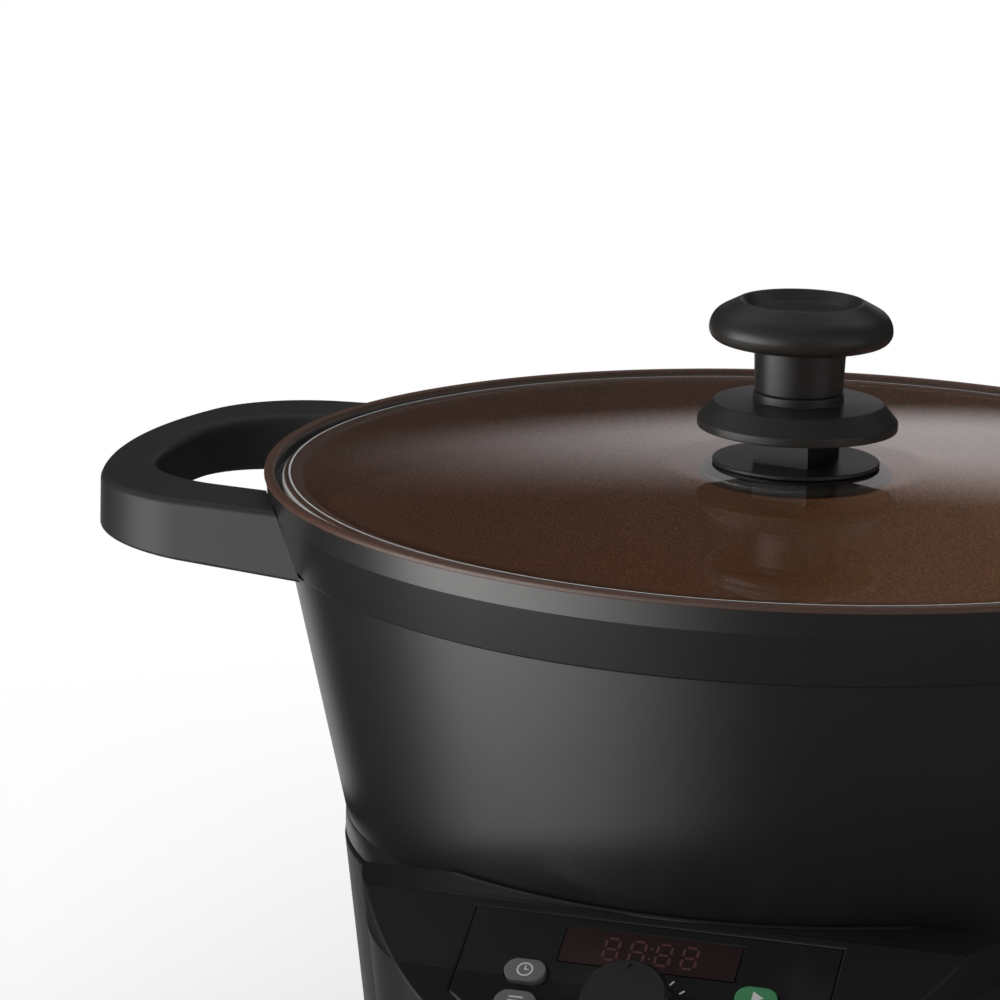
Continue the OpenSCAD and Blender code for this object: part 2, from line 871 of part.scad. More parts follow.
module push_button(side, row) {
    under = -panel_t - button_back_gap - button_flange_t;
    foot = board_n + switch_h + button_travel + button_back_gap;
    on_face() translate(button_place(side, row)) {
        translate([0, 0, under]) pill(button_l, button_w, button_rise - under);
        translate([0, 0, under])
            pill(button_l + 2 * button_flange, button_w + 2 * button_flange, button_flange_t);
        translate([0, 0, foot]) cylinder(r = button_rod_r, h = under - foot, $fn = 32);
    }
}

module start_button() {
    color("darkgreen") push_button(1, 0);
}

module stop_button() {
    color("darkred") push_button(1, 1);
}

module timer_button() {
    color("grey") push_button(-1, 0);
}

module menu_button() {
    color("grey") push_button(-1, 1);
}

// Heater, from the deck upwards
liner_rise = 7;
liner_gap = 0.3;
liner_top = pot_bottom + liner_rise;
element_z = hotplate_z - element_r - lay_fit;
terminal_x = 12;
terminal_r = 2.5;
terminal_l = 8;
terminal_in = 4;
terminal_turn = asin(terminal_x / element_ring_r);
plate_edge = 2;
plate_grooves = [30, 50, 70];
groove_w = 1.2;
groove_d = 0.4;
sensor_gap = 0.4;
sensor_edge = 1;
sensor_way = 1;
sensor_top = pot_bottom - sensor_gap;
sensor_cap_h = 7.6;
guide_foot_t = 1.5;
guide_h = 11;
guide_r = 8.5;
post_ring = 80;
heater_post_r = 4;

module at_terminals() {
    for (side = [-1, 1]) {
        rotate([0, 0, side * terminal_turn - 90])
            translate([element_ring_r, -side * terminal_in, 0]) children();
    }
}

module liner_outline(low, high, inset) {
    polygon([[0, low], [base_r(low) - base_wall - inset, low],
        [base_r(high) - base_wall - inset, high], [0, high]]);
}

module well_liner() {
    color("silver") difference() {
        rotate_extrude() difference() {
            liner_outline(deck_top, liner_top, liner_gap);
            liner_outline(liner_floor, liner_top + past, liner_gap + liner_t);
        }
        at_terminals() translate([0, 0, deck_top - past])
            cylinder(r = terminal_r + terminal_way, h = liner_t + 2 * past);
    }
}

module hotplate() {
    hole_r = sensor_r + sensor_way;
    color("lightgrey") difference() {
        rotate_extrude() polygon([[hole_r, hotplate_z], [hotplate_r, hotplate_z],
            [hotplate_r, pot_bottom - plate_edge], [hotplate_r - plate_edge, pot_bottom],
            [hole_r, pot_bottom]]);
        for (radius = plate_grooves) {
            translate([0, 0, pot_bottom - groove_d]) difference() {
                cylinder(r = radius + groove_w / 2, h = past);
                translate([0, 0, -past]) cylinder(r = radius - groove_w / 2, h = 3 * past);
            }
        }
    }
}

module heating_element() {
    color("dimgrey") translate([0, 0, element_z]) rotate([0, 0, terminal_turn - 90])
        rotate_extrude(angle = 360 - 2 * terminal_turn)
            translate([element_ring_r, 0]) circle(r = element_r, $fn = 32);
}

module element_terminals() {
    low = deck_z - terminal_l;
    color("silver") {
        at_terminals() translate([0, 0, low]) cylinder(r = terminal_r, h = element_z - low);
        for (side = [-1, 1]) {
            rotate([0, 0, side * terminal_turn - 90]) translate([element_ring_r, 0, element_z])
                rotate([side * 90, 0, 0]) cylinder(r = terminal_r, h = terminal_in);
        }
    }
}

module hotplate_posts() {
    color("silver") for (angle = [30, 150, 270]) {
        rotate([0, 0, angle]) translate([post_ring, 0, liner_floor])
            cylinder(r = heater_post_r, h = hotplate_z - liner_floor);
    }
}

module sensor_plunger() {
    stem_low = liner_floor + sensor_travel + sensor_gap;
    cap_low = sensor_top - sensor_cap_h;
    color("silver") rotate_extrude() polygon([[0, stem_low], [sensor_stem_r, stem_low],
        [sensor_stem_r, cap_low], [sensor_r, cap_low], [sensor_r, sensor_top - sensor_edge],
        [sensor_r - sensor_edge, sensor_top], [0, sensor_top]]);
}

module sensor_guide() {
    color("dimgrey") translate([0, 0, liner_floor]) difference() {
        union() {
            cylinder(r = 2 * guide_r, h = guide_foot_t);
            cylinder(r = guide_r, h = guide_h);
        }
        translate([0, 0, -past]) cylinder(r = sensor_stem_r + run_fit, h = guide_h + 2 * past);
    }
}

// Compression spring: one unbroken tube swept along a helix, with flat-laid end turns
wire_r = 0.6;
spring_way = 1.2;
spring_end_gap = 0.1;
spring_r = sensor_stem_r + spring_way + wire_r;
spring_turns = 5;
spring_low = liner_floor + guide_h + wire_r + spring_end_gap;
spring_high = sensor_top - sensor_cap_h - wire_r - spring_end_gap;
spring_steps = 12;
spring_sides = 6;

function spring_point(i) = let(turn = i / spring_steps) [
    spring_r * cos(360 * turn),
    spring_r * sin(360 * turn),
    spring_low + (spring_high - spring_low) * turn / spring_turns];

function spring_ring(i) = [for (k = [0 : spring_sides - 1])
    let(centre = spring_point(i), a = 360 * i / spring_steps, b = 360 * k / spring_sides)
    centre + wire_r * [cos(a) * cos(b), sin(a) * cos(b), sin(b)]];

module sensor_spring() {
    last = spring_turns * spring_steps;
    points = [for (i = [0 : last]) each spring_ring(i)];
    function at(i, k) = i * spring_sides + k % spring_sides;
    sides = [for (i = [0 : last - 1], k = [0 : spring_sides - 1])
        each [[at(i, k), at(i, k + 1), at(i + 1, k + 1)], [at(i, k), at(i + 1, k + 1), at(i + 1, k)]]];
    ends = [for (k = [1 : spring_sides - 2])
        each [[at(0, 0), at(0, k + 1), at(0, k)], [at(last, 0), at(last, k), at(last, k + 1)]]];
    echo(spring_gap = (spring_high - spring_low) / spring_turns - 2 * wire_r);
    color("silver") polyhedron(points, [for (face = concat(sides, ends)) [face[2], face[1], face[0]]]);
}

// Thermal fuse: a ceramic barrel in its clip
fuse_y = 40;
fuse_r = 3;
fuse_l = 18;
fuse_seat = 0.3;
clip_l = 24;
clip_w = 8;
clip_t = 1.2;

module thermal_fuse() {
    color("white") translate([0, fuse_y, liner_floor]) {
        translate([-clip_l / 2, -clip_w / 2, 0]) cube([clip_l, clip_w, clip_t]);
        translate([-fuse_l / 2, 0, clip_t + fuse_r - fuse_seat]) rotate([0, 90, 0])
            cylinder(r = fuse_r, h = fuse_l);
    }
}

// Power electronics in the chamber below the deck
board_up = 7;
board_z = cover_top + board_up;
power_w = 96;
power_l = 70;
power_y = 24;
board_boss_in = 6;
board_boss_r = 4;
relay_size = [20, 16, 15];
relay_in = [12, 13];
block_size = [32, 13, 13];
block_out = 14;
block_ways = 3;
block_pitch = 10;
block_way_r = 2.2;
block_floor = 4;

module power_board() {
    color("darkgreen") translate([-power_w / 2, power_y - power_l / 2, board_z])
        cube([power_w, power_l, board_t]);
}

module power_relay() {
    color("blue")
        translate([relay_in[0] - power_w / 2, power_y - power_l / 2 + relay_in[1], board_z + board_t])
            cube(relay_size);
}

module terminal_block() {
    first = (block_size[0] - (block_ways - 1) * block_pitch) / 2;
    color("ivory") translate([-block_size[0] / 2, power_y + block_out, board_z + board_t]) difference() {
        cube(block_size);
        for (i = [0 : block_ways - 1]) {
            translate([first + i * block_pitch, block_size[1] / 2, block_floor])
                cylinder(r = block_way_r, h = block_size[2]);
        }
    }
}

module cord_gland() {
    color([0.05, 0.05, 0.05]) difference() {
        union() {
            gland_cylinder(gland_r, gland_seat - gland_l, gland_seat + past);
            gland_cylinder(gland_r + gland_flange_w, gland_seat, gland_seat + gland_flange_t);
        }
        gland_cylinder(gland_bore_r, gland_seat - gland_l - past, gland_seat + gland_flange_t + past);
    }
}

module gland_nut() {
    nut_y = gland_seat - gland_l;
    color([0.1, 0.1, 0.1]) difference() {
        translate([0, nut_y, gland_z]) rotate([-90, 0, 0])
            cylinder(r = gland_r + gland_nut_w, h = gland_nut_t, $fn = 6);
        gland_cylinder(gland_r + run_fit, nut_y - past, nut_y + gland_nut_t + past);
    }
}

// Bottom cover, its screws and the feet
foot_in = 13.2;
rear_foot_turn = 37.3;
rear_foot_ring = base_r(cover_top) - foot_in;
front_foot_turn = 54.2;
stud_r = 3;
stud_top = 1;
foot_taper = 1;
cover_inset = 1;
cover_screw_l = 16;
cover_head_r = 3.2;
cover_head_h = 2;
vent_count = 9;
vent_pitch = 9;
vent_w = 4;
vent_l = 34;
vent_y = -40;

module at_feet() {
    for (side = [-1, 1]) {
        rotate([0, 0, 90 + side * rear_foot_turn]) translate([rear_foot_ring, 0, 0]) children();
    }
    round_cowl(cowl_foot_r - foot_in, front_foot_turn) children();
}

module at_board_bosses() {
    for (x = [-1, 1], y = [-1, 1]) {
        translate([x * (power_w / 2 - board_boss_in), power_y + y * (power_l / 2 - board_boss_in), 0])
            children();
    }
}

module cover_plan(inset) {
    circle(r = base_r(cover_top) - inset);
    intersection() {
        translate([0, -cowl_y]) circle(r = cowl_foot_r - inset);
        translate([-lip_r, -2 * lip_r]) square([2 * lip_r, 2 * lip_r]);
    }
}

module at_cover_screws() {
    at_bosses() children();
    at_cowl_bosses() children();
}

module bottom_cover() {
    color([0.06, 0.06, 0.06]) difference() {
        union() {
            translate([0, 0, foot_h]) linear_extrude(cover_t) cover_plan(cover_inset);
            at_board_bosses() translate([0, 0, cover_top - past])
                cylinder(r = board_boss_r, h = board_z - cover_top + past);
        }
        at_cover_screws() translate([0, 0, foot_h - past])
            cylinder(r = boss_pilot + screw_fit, h = cover_t + 2 * past);
        at_feet() translate([0, 0, foot_h - past])
            cylinder(r = stud_r + run_fit, h = cover_t + 2 * past);
        for (i = [0 : vent_count - 1]) {
            translate([(i - (vent_count - 1) / 2) * vent_pitch - vent_w / 2, vent_y, foot_h - past])
                cube([vent_w, vent_l, cover_t + 2 * past]);
        }
    }
}

module bottom_screws() {
    color("silver") at_cover_screws() translate([0, 0, foot_h])
        pan_screw(boss_pilot - screw_fit, cover_screw_l, cover_head_r, cover_head_h);
}

module feet() {
    color([0.1, 0.1, 0.1]) at_feet() rotate_extrude() polygon([[0, 0], [foot_r - foot_taper, 0],
        [foot_r - foot_taper / 2, foot_taper], [foot_r, foot_h], [stud_r, foot_h],
        [stud_r, cover_top + stud_top], [0, cover_top + stud_top]]);
}

lid_glass();
knob_grip();
knob_flange();
knob_seal();
knob_backplate();
knob_screw();
pot_shell();
left_handle();
right_handle();
handle_screws();
base_housing();
front_cowl();
control_panel();
display_window();
display_module();
control_board();
tact_switches();
encoder_body();
board_screws();
control_dial();
dial_shaft();
start_button();
stop_button();
timer_button();
menu_button();
well_liner();
hotplate();
heating_element();
element_terminals();
hotplate_posts();
sensor_plunger();
sensor_guide();
sensor_spring();
thermal_fuse();
power_board();
power_relay();
terminal_block();
cord_gland();
gland_nut();
bottom_cover();
bottom_screws();
feet();
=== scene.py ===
# %% [markdown]
# A black multicooker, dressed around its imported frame
#
# The frame holds every piece at its real size and place. This lesson gives each piece the form and the
# finish that the eye expects: turned pots and knobs with soft edges, clear glass, cast and moulded
# blacks that differ from each other. Everything is in metres, and the cooker's controls face -Y.

# %% Load the frame
import math

import bmesh
import bpy
from mathutils import Matrix, Vector


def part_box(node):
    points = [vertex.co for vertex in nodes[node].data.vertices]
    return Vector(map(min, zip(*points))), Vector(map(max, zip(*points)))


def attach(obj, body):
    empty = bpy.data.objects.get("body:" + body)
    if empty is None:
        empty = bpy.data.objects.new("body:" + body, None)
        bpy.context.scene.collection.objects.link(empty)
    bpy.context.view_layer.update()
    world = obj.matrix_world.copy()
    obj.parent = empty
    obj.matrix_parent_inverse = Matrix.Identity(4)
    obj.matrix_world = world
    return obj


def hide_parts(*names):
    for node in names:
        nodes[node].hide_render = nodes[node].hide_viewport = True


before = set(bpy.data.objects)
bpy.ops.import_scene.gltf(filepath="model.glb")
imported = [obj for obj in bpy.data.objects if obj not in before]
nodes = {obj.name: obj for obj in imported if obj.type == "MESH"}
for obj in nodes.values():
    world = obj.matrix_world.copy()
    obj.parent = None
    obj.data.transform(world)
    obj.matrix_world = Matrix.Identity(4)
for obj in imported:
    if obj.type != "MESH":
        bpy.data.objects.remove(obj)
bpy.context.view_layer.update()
scene = bpy.context.scene
print("nodes in the frame:", len(nodes))

# %% [markdown]
# The camera
#
# The picture was taken from a little to the right of the cooker's front and from slightly above, with a
# long lens. A camera can be aimed with a constraint, but three axis vectors say the same thing plainly:
# one along the picture's width, one up it and one back towards the eye.

# %% Camera
VIEW_TURN = math.radians(17)
VIEW_DROP = math.radians(13.148)
VIEW_ROLL = math.radians(1.55)
VIEW_DISTANCE = 1.4
LENS_MM, SENSOR_MM = 185.5, 36
AIM_ACROSS, AIM_UP = -0.0799, 0.1912
UP = Vector((0, 0, 1))

across = Vector((math.cos(VIEW_TURN), math.sin(VIEW_TURN), 0))
inward = Vector((-math.sin(VIEW_TURN), math.cos(VIEW_TURN), 0))
looking = inward * math.cos(VIEW_DROP) - UP * math.sin(VIEW_DROP)
upward = across.cross(looking)
aim = across * AIM_ACROSS + UP * AIM_UP
picture_x = across * math.cos(VIEW_ROLL) + upward * math.sin(VIEW_ROLL)
picture_y = upward * math.cos(VIEW_ROLL) - across * math.sin(VIEW_ROLL)
axes = Matrix((picture_x, picture_y, -looking)).transposed()

camera_data = bpy.data.cameras.new("camera")
camera_data.lens = LENS_MM
camera_data.sensor_width = SENSOR_MM
camera = bpy.data.objects.new("camera", camera_data)
camera.matrix_world = Matrix.Translation(aim - looking * VIEW_DISTANCE) @ axes.to_4x4()
scene.collection.objects.link(camera)
scene.camera = camera
print("camera stands at", [round(v, 3) for v in camera.matrix_world.translation])

# %% [markdown]
# Shader arithmetic
#
# Node trees can be wired by hand, link by link, but then a simple sum takes five lines. Here a Value
# stands for one socket, so `1 - mask` or `noise * 0.2 + 0.4` adds its Math nodes by itself.


# %% Values
class Value:
    """A number on a shader socket; arithmetic on it adds Math nodes."""

    def __init__(self, finish, socket):
        self.finish = finish
        self.socket = socket

    def math(self, operation, *numbers):
        return self.finish.node("ShaderNodeMath", {"operation": operation}, dict(enumerate(numbers)))

    def __add__(self, other):
        return self.math("ADD", self, other)

    def __sub__(self, other):
        return self.math("SUBTRACT", self, other)

    def __rsub__(self, other):
        return self.math("SUBTRACT", other, self)

    def __mul__(self, other):
        return self.math("MULTIPLY", self, other)

    def __truediv__(self, other):
        return self.math("DIVIDE", self, other)

    def __pow__(self, other):
        return self.math("POWER", self, other)

    def __abs__(self):
        return self.math("ABSOLUTE", self)

    __radd__ = __add__
    __rmul__ = __mul__

    def above(self, edge, soft):
        """0 below the edge and 1 above it, with a soft step between."""
        return self.finish.node(
            "ShaderNodeMapRange", {"interpolation_type": "SMOOTHSTEP"},
            {"Value": self, "From Min": edge - soft, "From Max": edge + soft})

    def below(self, edge, soft):
        return 1 - self.above(edge, soft)

    def between(self, start, end):
        """1 from one edge to another and 0 outside them; each edge is (place, softness)."""
        return self.above(*start) * self.below(*end)

    def wave(self):
        """A smooth wave from 0 to 1 that repeats whenever the value grows by 1."""
        return self.math("SINE", self * math.tau) * 0.5 + 0.5


# %% [markdown]
# Finishes as node trees
#
# A finish is one node tree. All its nodes come from `node`, which sets a node's own settings first and
# then its sockets; the other methods only give short names to what this lesson uses often. The world's
# light is a node tree too, so the same class makes it.


# %% Finishes
WHITE = (1, 1, 1, 1)


def length(u, v):
    """Length of a flat vector, from two Values or two numbers."""
    return (u * u + v * v) ** 0.5


class Finish:
    """The node tree of a new material, or of another owner such as the world."""

    def __init__(self, name, owner=None):
        self.owner = owner or bpy.data.materials.new(name)
        self.owner.use_nodes = True
        self.tree = self.owner.node_tree
        self.tree.nodes.clear()

    def node(self, kind, settings=None, inputs=None, output=0):
        """Makes any node and gives back one of its outputs as a Value."""
        made = self.tree.nodes.new(kind)
        for key, value in (settings or {}).items():
            setattr(made, key, value)
        for key, value in (inputs or {}).items():
            if isinstance(value, Value):
                self.tree.links.new(value.socket, made.inputs[key])
            else:
                made.inputs[key].default_value = value
        return Value(self, made.outputs[output])

    def place(self):
        return self.node("ShaderNodeTexCoord", output="Object")

    def stretched(self, scale):
        """Object coordinates, stretched so that a pattern runs longer one way than another."""
        return self.node("ShaderNodeMapping", None, {"Vector": self.place(), "Scale": scale})

    def axes(self):
        """The three object coordinates as numbers, in metres."""
        place = self.place()
        return [self.node("ShaderNodeSeparateXYZ", None, {0: place}, output=i) for i in range(3)]

    def away(self):
        """Distance from the cooker's axis."""
        return length(*self.axes()[:2])

    def along(self, direction, start=(0, 0, 0)):
        """Distance from a start, measured along a direction."""
        parts = zip(self.axes(), start, direction)
        return sum((axis - begin) * step for axis, begin, step in parts if step)

    def noise(self, size, detail=2.0, roughness=0.5, place=None):
        """Noise from 0 to 1 whose patches are about size metres across."""
        return self.node(
            "ShaderNodeTexNoise", None,
            {"Vector": place or self.place(), "Scale": 1 / size, "Detail": detail, "Roughness": roughness})

    def cells(self, size):
        """Small cells, about size metres across, each with a random colour."""
        return self.node(
            "ShaderNodeTexVoronoi", None, {"Vector": self.place(), "Scale": 1 / size}, output="Color")

    def mix(self, mask, low, high):
        """A colour between low and high; either may be a colour or a Value."""
        return self.node("ShaderNodeMix", {"data_type": "RGBA"}, {0: mask, 6: low, 7: high}, output=2)

    def bump(self, height, depth):
        """A surface normal from a height from 0 to 1 that stands depth metres high."""
        return self.node("ShaderNodeBump", None, {"Height": height, "Distance": depth})

    def ray(self, kind):
        return self.node("ShaderNodeLightPath", output=kind)

    def shader(self, **inputs):
        """A Principled surface; an underscore in the name of an input stands for a space."""
        sockets = {name.replace("_", " "): value for name, value in inputs.items()}
        return self.node("ShaderNodeBsdfPrincipled", None, sockets)

    def glow(self, colour, strength=1.0):
        return self.node("ShaderNodeEmission", None, {"Color": colour, "Strength": strength})

    def clear(self, colour=WHITE):
        return self.node("ShaderNodeBsdfTransparent", None, {"Color": colour})

    def blend(self, mask, first, second):
        """One surface where the mask is 0 and another where it is 1."""
        return self.node("ShaderNodeMixShader", None, {0: mask, 1: first, 2: second})

    def done(self, surface, end="ShaderNodeOutputMaterial"):
        last = self.tree.nodes.new(end)
        self.tree.links.new(surface.socket, last.inputs["Surface"])
        print("finish", self.owner.name, "has", len(self.tree.nodes), "nodes")
        return self.owner


def grey(level, warm=0.0):
    """A near-neutral colour; warm above 0 leans it towards red, below 0 towards blue."""
    return (level * (1 + warm), level, level * (1 - warm), 1)


# %% [markdown]
# The studio: background and floor
#
# A product on white stands on a pale floor. A bright world would do for both, but then the blacks would
# turn grey. So the world is plain white to the eye, to reflections and through glass, and lights the object
# only a little. The floor keeps the shadow near the cooker, fades into the same white further out, and is
# clear from below, so that the underside can be looked at.

# %% World and floor
WORLD_FILL = 0.5
FLOOR_HALF, FLOOR_PATCH = 6.0, 0.3
FLOOR_FADE_START, FLOOR_FADE_END = 0.24, 0.6
SMOOTH_DEGREES = 35

scene.view_settings.view_transform = "Standard"
scene.world = bpy.data.worlds.new("studio")
sky = Finish("studio", scene.world)
seen = sky.ray("Is Camera Ray")
for kind in ("Is Glossy Ray", "Is Transmission Ray"):
    seen = seen.math("MAXIMUM", seen, sky.ray(kind))
strength = seen * (1 - WORLD_FILL) + WORLD_FILL
background = sky.node("ShaderNodeBackground", None, {"Color": WHITE, "Strength": strength})
sky.done(background, "ShaderNodeOutputWorld")


def new_piece(name, bm, material, smooth_degrees=SMOOTH_DEGREES):
    """An object at the origin from a bmesh, smooth except at edges sharper than the angle."""
    mesh = bpy.data.meshes.new(name)
    bm.to_mesh(mesh)
    bm.free()
    mesh.materials.append(material)
    mesh.shade_smooth()
    mesh.set_sharp_from_angle(angle=math.radians(smooth_degrees))
    piece = bpy.data.objects.new(name, mesh)
    scene.collection.objects.link(piece)
    return piece


def floor_finish():
    finish = Finish("floor_pale")
    tone = finish.mix(finish.noise(FLOOR_PATCH), grey(0.9), grey(0.93))
    matte = finish.shader(Base_Color=tone, Roughness=0.9, Specular_IOR_Level=0.1)
    middle = (FLOOR_FADE_START + FLOOR_FADE_END) / 2
    fade = finish.away().above(middle, FLOOR_FADE_END - middle)
    upper = finish.blend(fade, matte, finish.glow(WHITE))
    from_below = finish.node("ShaderNodeNewGeometry", output="Backfacing")
    return finish.done(finish.blend(from_below, upper, finish.clear()))


bm = bmesh.new()
bmesh.ops.create_grid(bm, x_segments=1, y_segments=1, size=FLOOR_HALF)
floor = new_piece("floor", bm, floor_finish())
floor.visible_glossy = False
print("floor is", 2 * FLOOR_HALF, "m wide")

# %% [markdown]
# The studio: lamps
#
# Three soft lamps, at the left, in front and behind, light the cooker at a plain level. Black plastic
# would mirror each of them as a hard white square, so reflections leave the lamps out and see only the tent
# of the next step.

# %% Lamps
LAMP_AIM = UP * 0.15
LAMPS = {
    "key": {"turn": -100, "lift": 40, "distance": 1.3, "size": (0.8, 0.8), "watts": 10},
    "front_fill": {"turn": -30, "lift": 30, "distance": 1.7, "size": (1.0, 0.8), "watts": 3},
    "back_fill": {"turn": 140, "lift": 55, "distance": 1.5, "size": (1.0, 1.0), "watts": 3.5},
}


def on_stage(turn, lift, distance):
    """A point round the cooker: turn is measured from the camera's side, towards the picture's right."""
    turn, lift = math.radians(turn), math.radians(lift)
    flat = across * math.sin(turn) - inward * math.cos(turn)
    return LAMP_AIM + (flat * math.cos(lift) + UP * math.sin(lift)) * distance


def soft_lamp(name, turn, lift, distance, size, watts):
    data = bpy.data.lights.new(name, "AREA")
    data.shape = "RECTANGLE"
    data.size, data.size_y = size
    data.energy = watts
    lamp = bpy.data.objects.new(name, data)
    spot = on_stage(turn, lift, distance)
    facing = (LAMP_AIM - spot).to_track_quat("-Z", "Y").to_matrix().to_4x4()
    lamp.matrix_world = Matrix.Translation(spot) @ facing
    lamp.visible_glossy = False
    scene.collection.objects.link(lamp)
    print("lamp", name, "gives", watts, "W")


for name, setting in LAMPS.items():
    soft_lamp(name, **setting)

# %% [markdown]
# The studio: a tent for reflections
#
# Black shows little else than reflections, and glass at a low angle mirrors whatever is behind it. A
# photographer therefore hangs a dark tent with a few bright panels round the object. Here it is a sphere
# that only reflections see: a tall soft panel at the left makes the long highlight down the pot's wall, and
# weaker ones keep the other sides from going flat. An image of a studio could do this too, but a few soft
# masks in degrees are easier to move.

# %% Tent
TENT_R = 2.5
GREEN_SHARE, BLUE_SHARE = 0.985, 0.97
NO_BOUNCE = (0.5, 0.1)

# Each edge is (degrees, softness), of the turn to the left or of the lift above the horizon
CLOTH, CLOTH_IN_FRONT, CLOTH_FRONT = 0.02, 0.03, (125, 20)
LEFT_BRIGHT, LEFT_TURN, LEFT_TOP = 6, ((47, 36), (95, 10)), (10, 9)
LEFT_FOOT, LEFT_FOOT_TILT = (-43, 2.2), 0.14
LEFT_UPPER, LEFT_MORE_BELOW, LEFT_STEP = 0.59, 0.5, (-33, 9)
OVERHEAD_BRIGHT, OVERHEAD_EDGE = 0.1, (72, 8)
BACK_BRIGHT, BACK_TURN, BACK_LIFT = 0.28, (110, 20), ((38, 8), (62, 8))
PANELS = {
    "back_left": {"bright": 0.7, "turn": ((152, 6), (172, 6)), "lift": ((-28, 8), (-6, 6))},
    "right": {"bright": 0.3, "turn": ((-75, 15), (-35, 15)), "lift": ((-12, 6), (18, 10))},
    "front": {"bright": 0.12, "turn": ((-50, 20), (50, 20)), "lift": ((14, 6), (42, 10))},
}


def tent_light(leftward, lift):
    """Brightness of the tent in a direction, as the sum of the cloth and its panels."""
    left = leftward.between(*LEFT_TURN) * lift.below(*LEFT_TOP)
    left *= (lift - leftward * LEFT_FOOT_TILT).above(*LEFT_FOOT)
    left *= lift.below(*LEFT_STEP) * LEFT_MORE_BELOW + LEFT_UPPER
    bright = abs(leftward).below(*CLOTH_FRONT) * CLOTH_IN_FRONT + CLOTH + left * LEFT_BRIGHT
    bright += lift.above(*OVERHEAD_EDGE) * OVERHEAD_BRIGHT
    bright += abs(leftward).above(*BACK_TURN) * lift.between(*BACK_LIFT) * BACK_BRIGHT
    for panel in PANELS.values():
        bright += leftward.between(*panel["turn"]) * lift.between(*panel["lift"]) * panel["bright"]
    return bright


def tent_finish():
    """Dark cloth with soft panels; a ray that only came through glass passes, so clear glass stays clear."""
    finish = Finish("tent_cloth")
    to_left, to_front = finish.along(-across), finish.along(-inward)
    leftward = to_left.math("ARCTAN2", to_left, to_front) * math.degrees(1)
    rise = finish.along(UP, LAMP_AIM) / TENT_R
    bright = tent_light(leftward, rise.math("ARCSINE", rise) * math.degrees(1))
    warm = finish.node(
        "ShaderNodeCombineColor", None, {0: bright, 1: bright * GREEN_SHARE, 2: bright * BLUE_SHARE})
    bounced = finish.ray("Glossy Depth") + finish.ray("Diffuse Depth")
    straight = finish.ray("Is Transmission Ray") * bounced.below(*NO_BOUNCE)
    return finish.done(finish.blend(straight, finish.glow(warm), finish.clear()))


bm = bmesh.new()
bmesh.ops.create_uvsphere(
    bm, u_segments=48, v_segments=24, radius=TENT_R, matrix=Matrix.Translation(LAMP_AIM))
tent = new_piece("tent", bm, tent_finish())
print("tent of", TENT_R, "m hangs")

# %% [markdown]
# The studio: an apron and a card
#
# The foot of the pot mirrors what is round it. A black apron, a flat ring with a soft outer edge, lets the
# wall darken gently there; it also stands for the cowl, whose hard outline is left out of reflections.
# Behind the lid stands a card with a soft patch of light, which makes the pale veil on the glass.

# %% Apron round the base and card behind the lid
APRON_IN, APRON_IN_SOFT, APRON_OUT, APRON_SOFT, APRON_Z = 0.125, 0.001, 0.154, 0.008, 0.098
APRON_RIGHT, APRON_FRONT, APRON_BLACK = 0.013, 0.026, 0.01
APRON_MIDDLE = across * APRON_RIGHT - inward * APRON_FRONT
CARD_BACK, CARD_HALF, CARD_TOP = 0.6, 0.4, 0.5
CARD_BRIGHT, CARD_TINT = 0.8, (1, 0.95, 0.97, 1)
GLOW_FOOT, GLOW_FOOT_TILT, GLOW_TOP = (0.285, 0.02), 0.16, (0.35, 0.04)
GLOW_SIDES = ((-0.06, 0.13), (0.2, 0.1))


def apron_finish():
    """Black cloth, open where the pot stands, whose outer edge fades so that it has no hard reflection."""
    finish = Finish("apron_black")
    x, y = finish.axes()[:2]
    outside = finish.away().above(APRON_IN, APRON_IN_SOFT)
    there = outside * length(x - APRON_MIDDLE.x, y - APRON_MIDDLE.y).below(APRON_OUT, APRON_SOFT)
    return finish.done(finish.blend(there, finish.clear(), finish.glow(grey(APRON_BLACK))))


def card_finish():
    """A soft patch of light that fades out upwards and to the sides, and ends sooner below."""
    finish = Finish("card_glow")
    z, to_right = finish.axes()[2], finish.along(across)
    patch = (z + to_right * GLOW_FOOT_TILT).above(*GLOW_FOOT) * z.below(*GLOW_TOP)
    patch *= to_right.between(*GLOW_SIDES)
    return finish.done(finish.blend(patch, finish.clear(), finish.glow(CARD_TINT, CARD_BRIGHT)))


bm = bmesh.new()
bmesh.ops.create_grid(bm, x_segments=1, y_segments=1, size=1)
bmesh.ops.scale(bm, vec=(CARD_HALF, CARD_TOP / 2, 1), verts=bm.verts)
upright = Matrix((across, UP, inward)).transposed().to_4x4()
middle = inward * CARD_BACK + UP * CARD_TOP / 2
bmesh.ops.transform(bm, matrix=Matrix.Translation(middle) @ upright, verts=bm.verts)
card = new_piece("card", bm, card_finish())
bm = bmesh.new()
bmesh.ops.create_circle(
    bm, cap_ends=True, segments=64, radius=APRON_OUT + APRON_SOFT,
    matrix=Matrix.Translation(APRON_MIDDLE + UP * APRON_Z))
apron = new_piece("apron", bm, apron_finish())
for piece in (card, apron):
    piece.visible_transmission = False
for piece in (tent, card, apron):
    piece.visible_camera = False
    piece.visible_diffuse = False
    piece.visible_shadow = False
    print(piece.name, "shows in reflections only")

# %% [markdown]
# Turned forms
#
# Pots, lids and knobs are turned: an outline goes once round the axis. The outline could be a drawn curve,
# but a spin needs only its points, so `rounded` puts an arc at each corner that has a radius and `turned`
# spins the result.


# %% Outlines and turning
ARC_STEP = math.radians(12)
LATHE_STEPS = 160
WELD = 1e-6


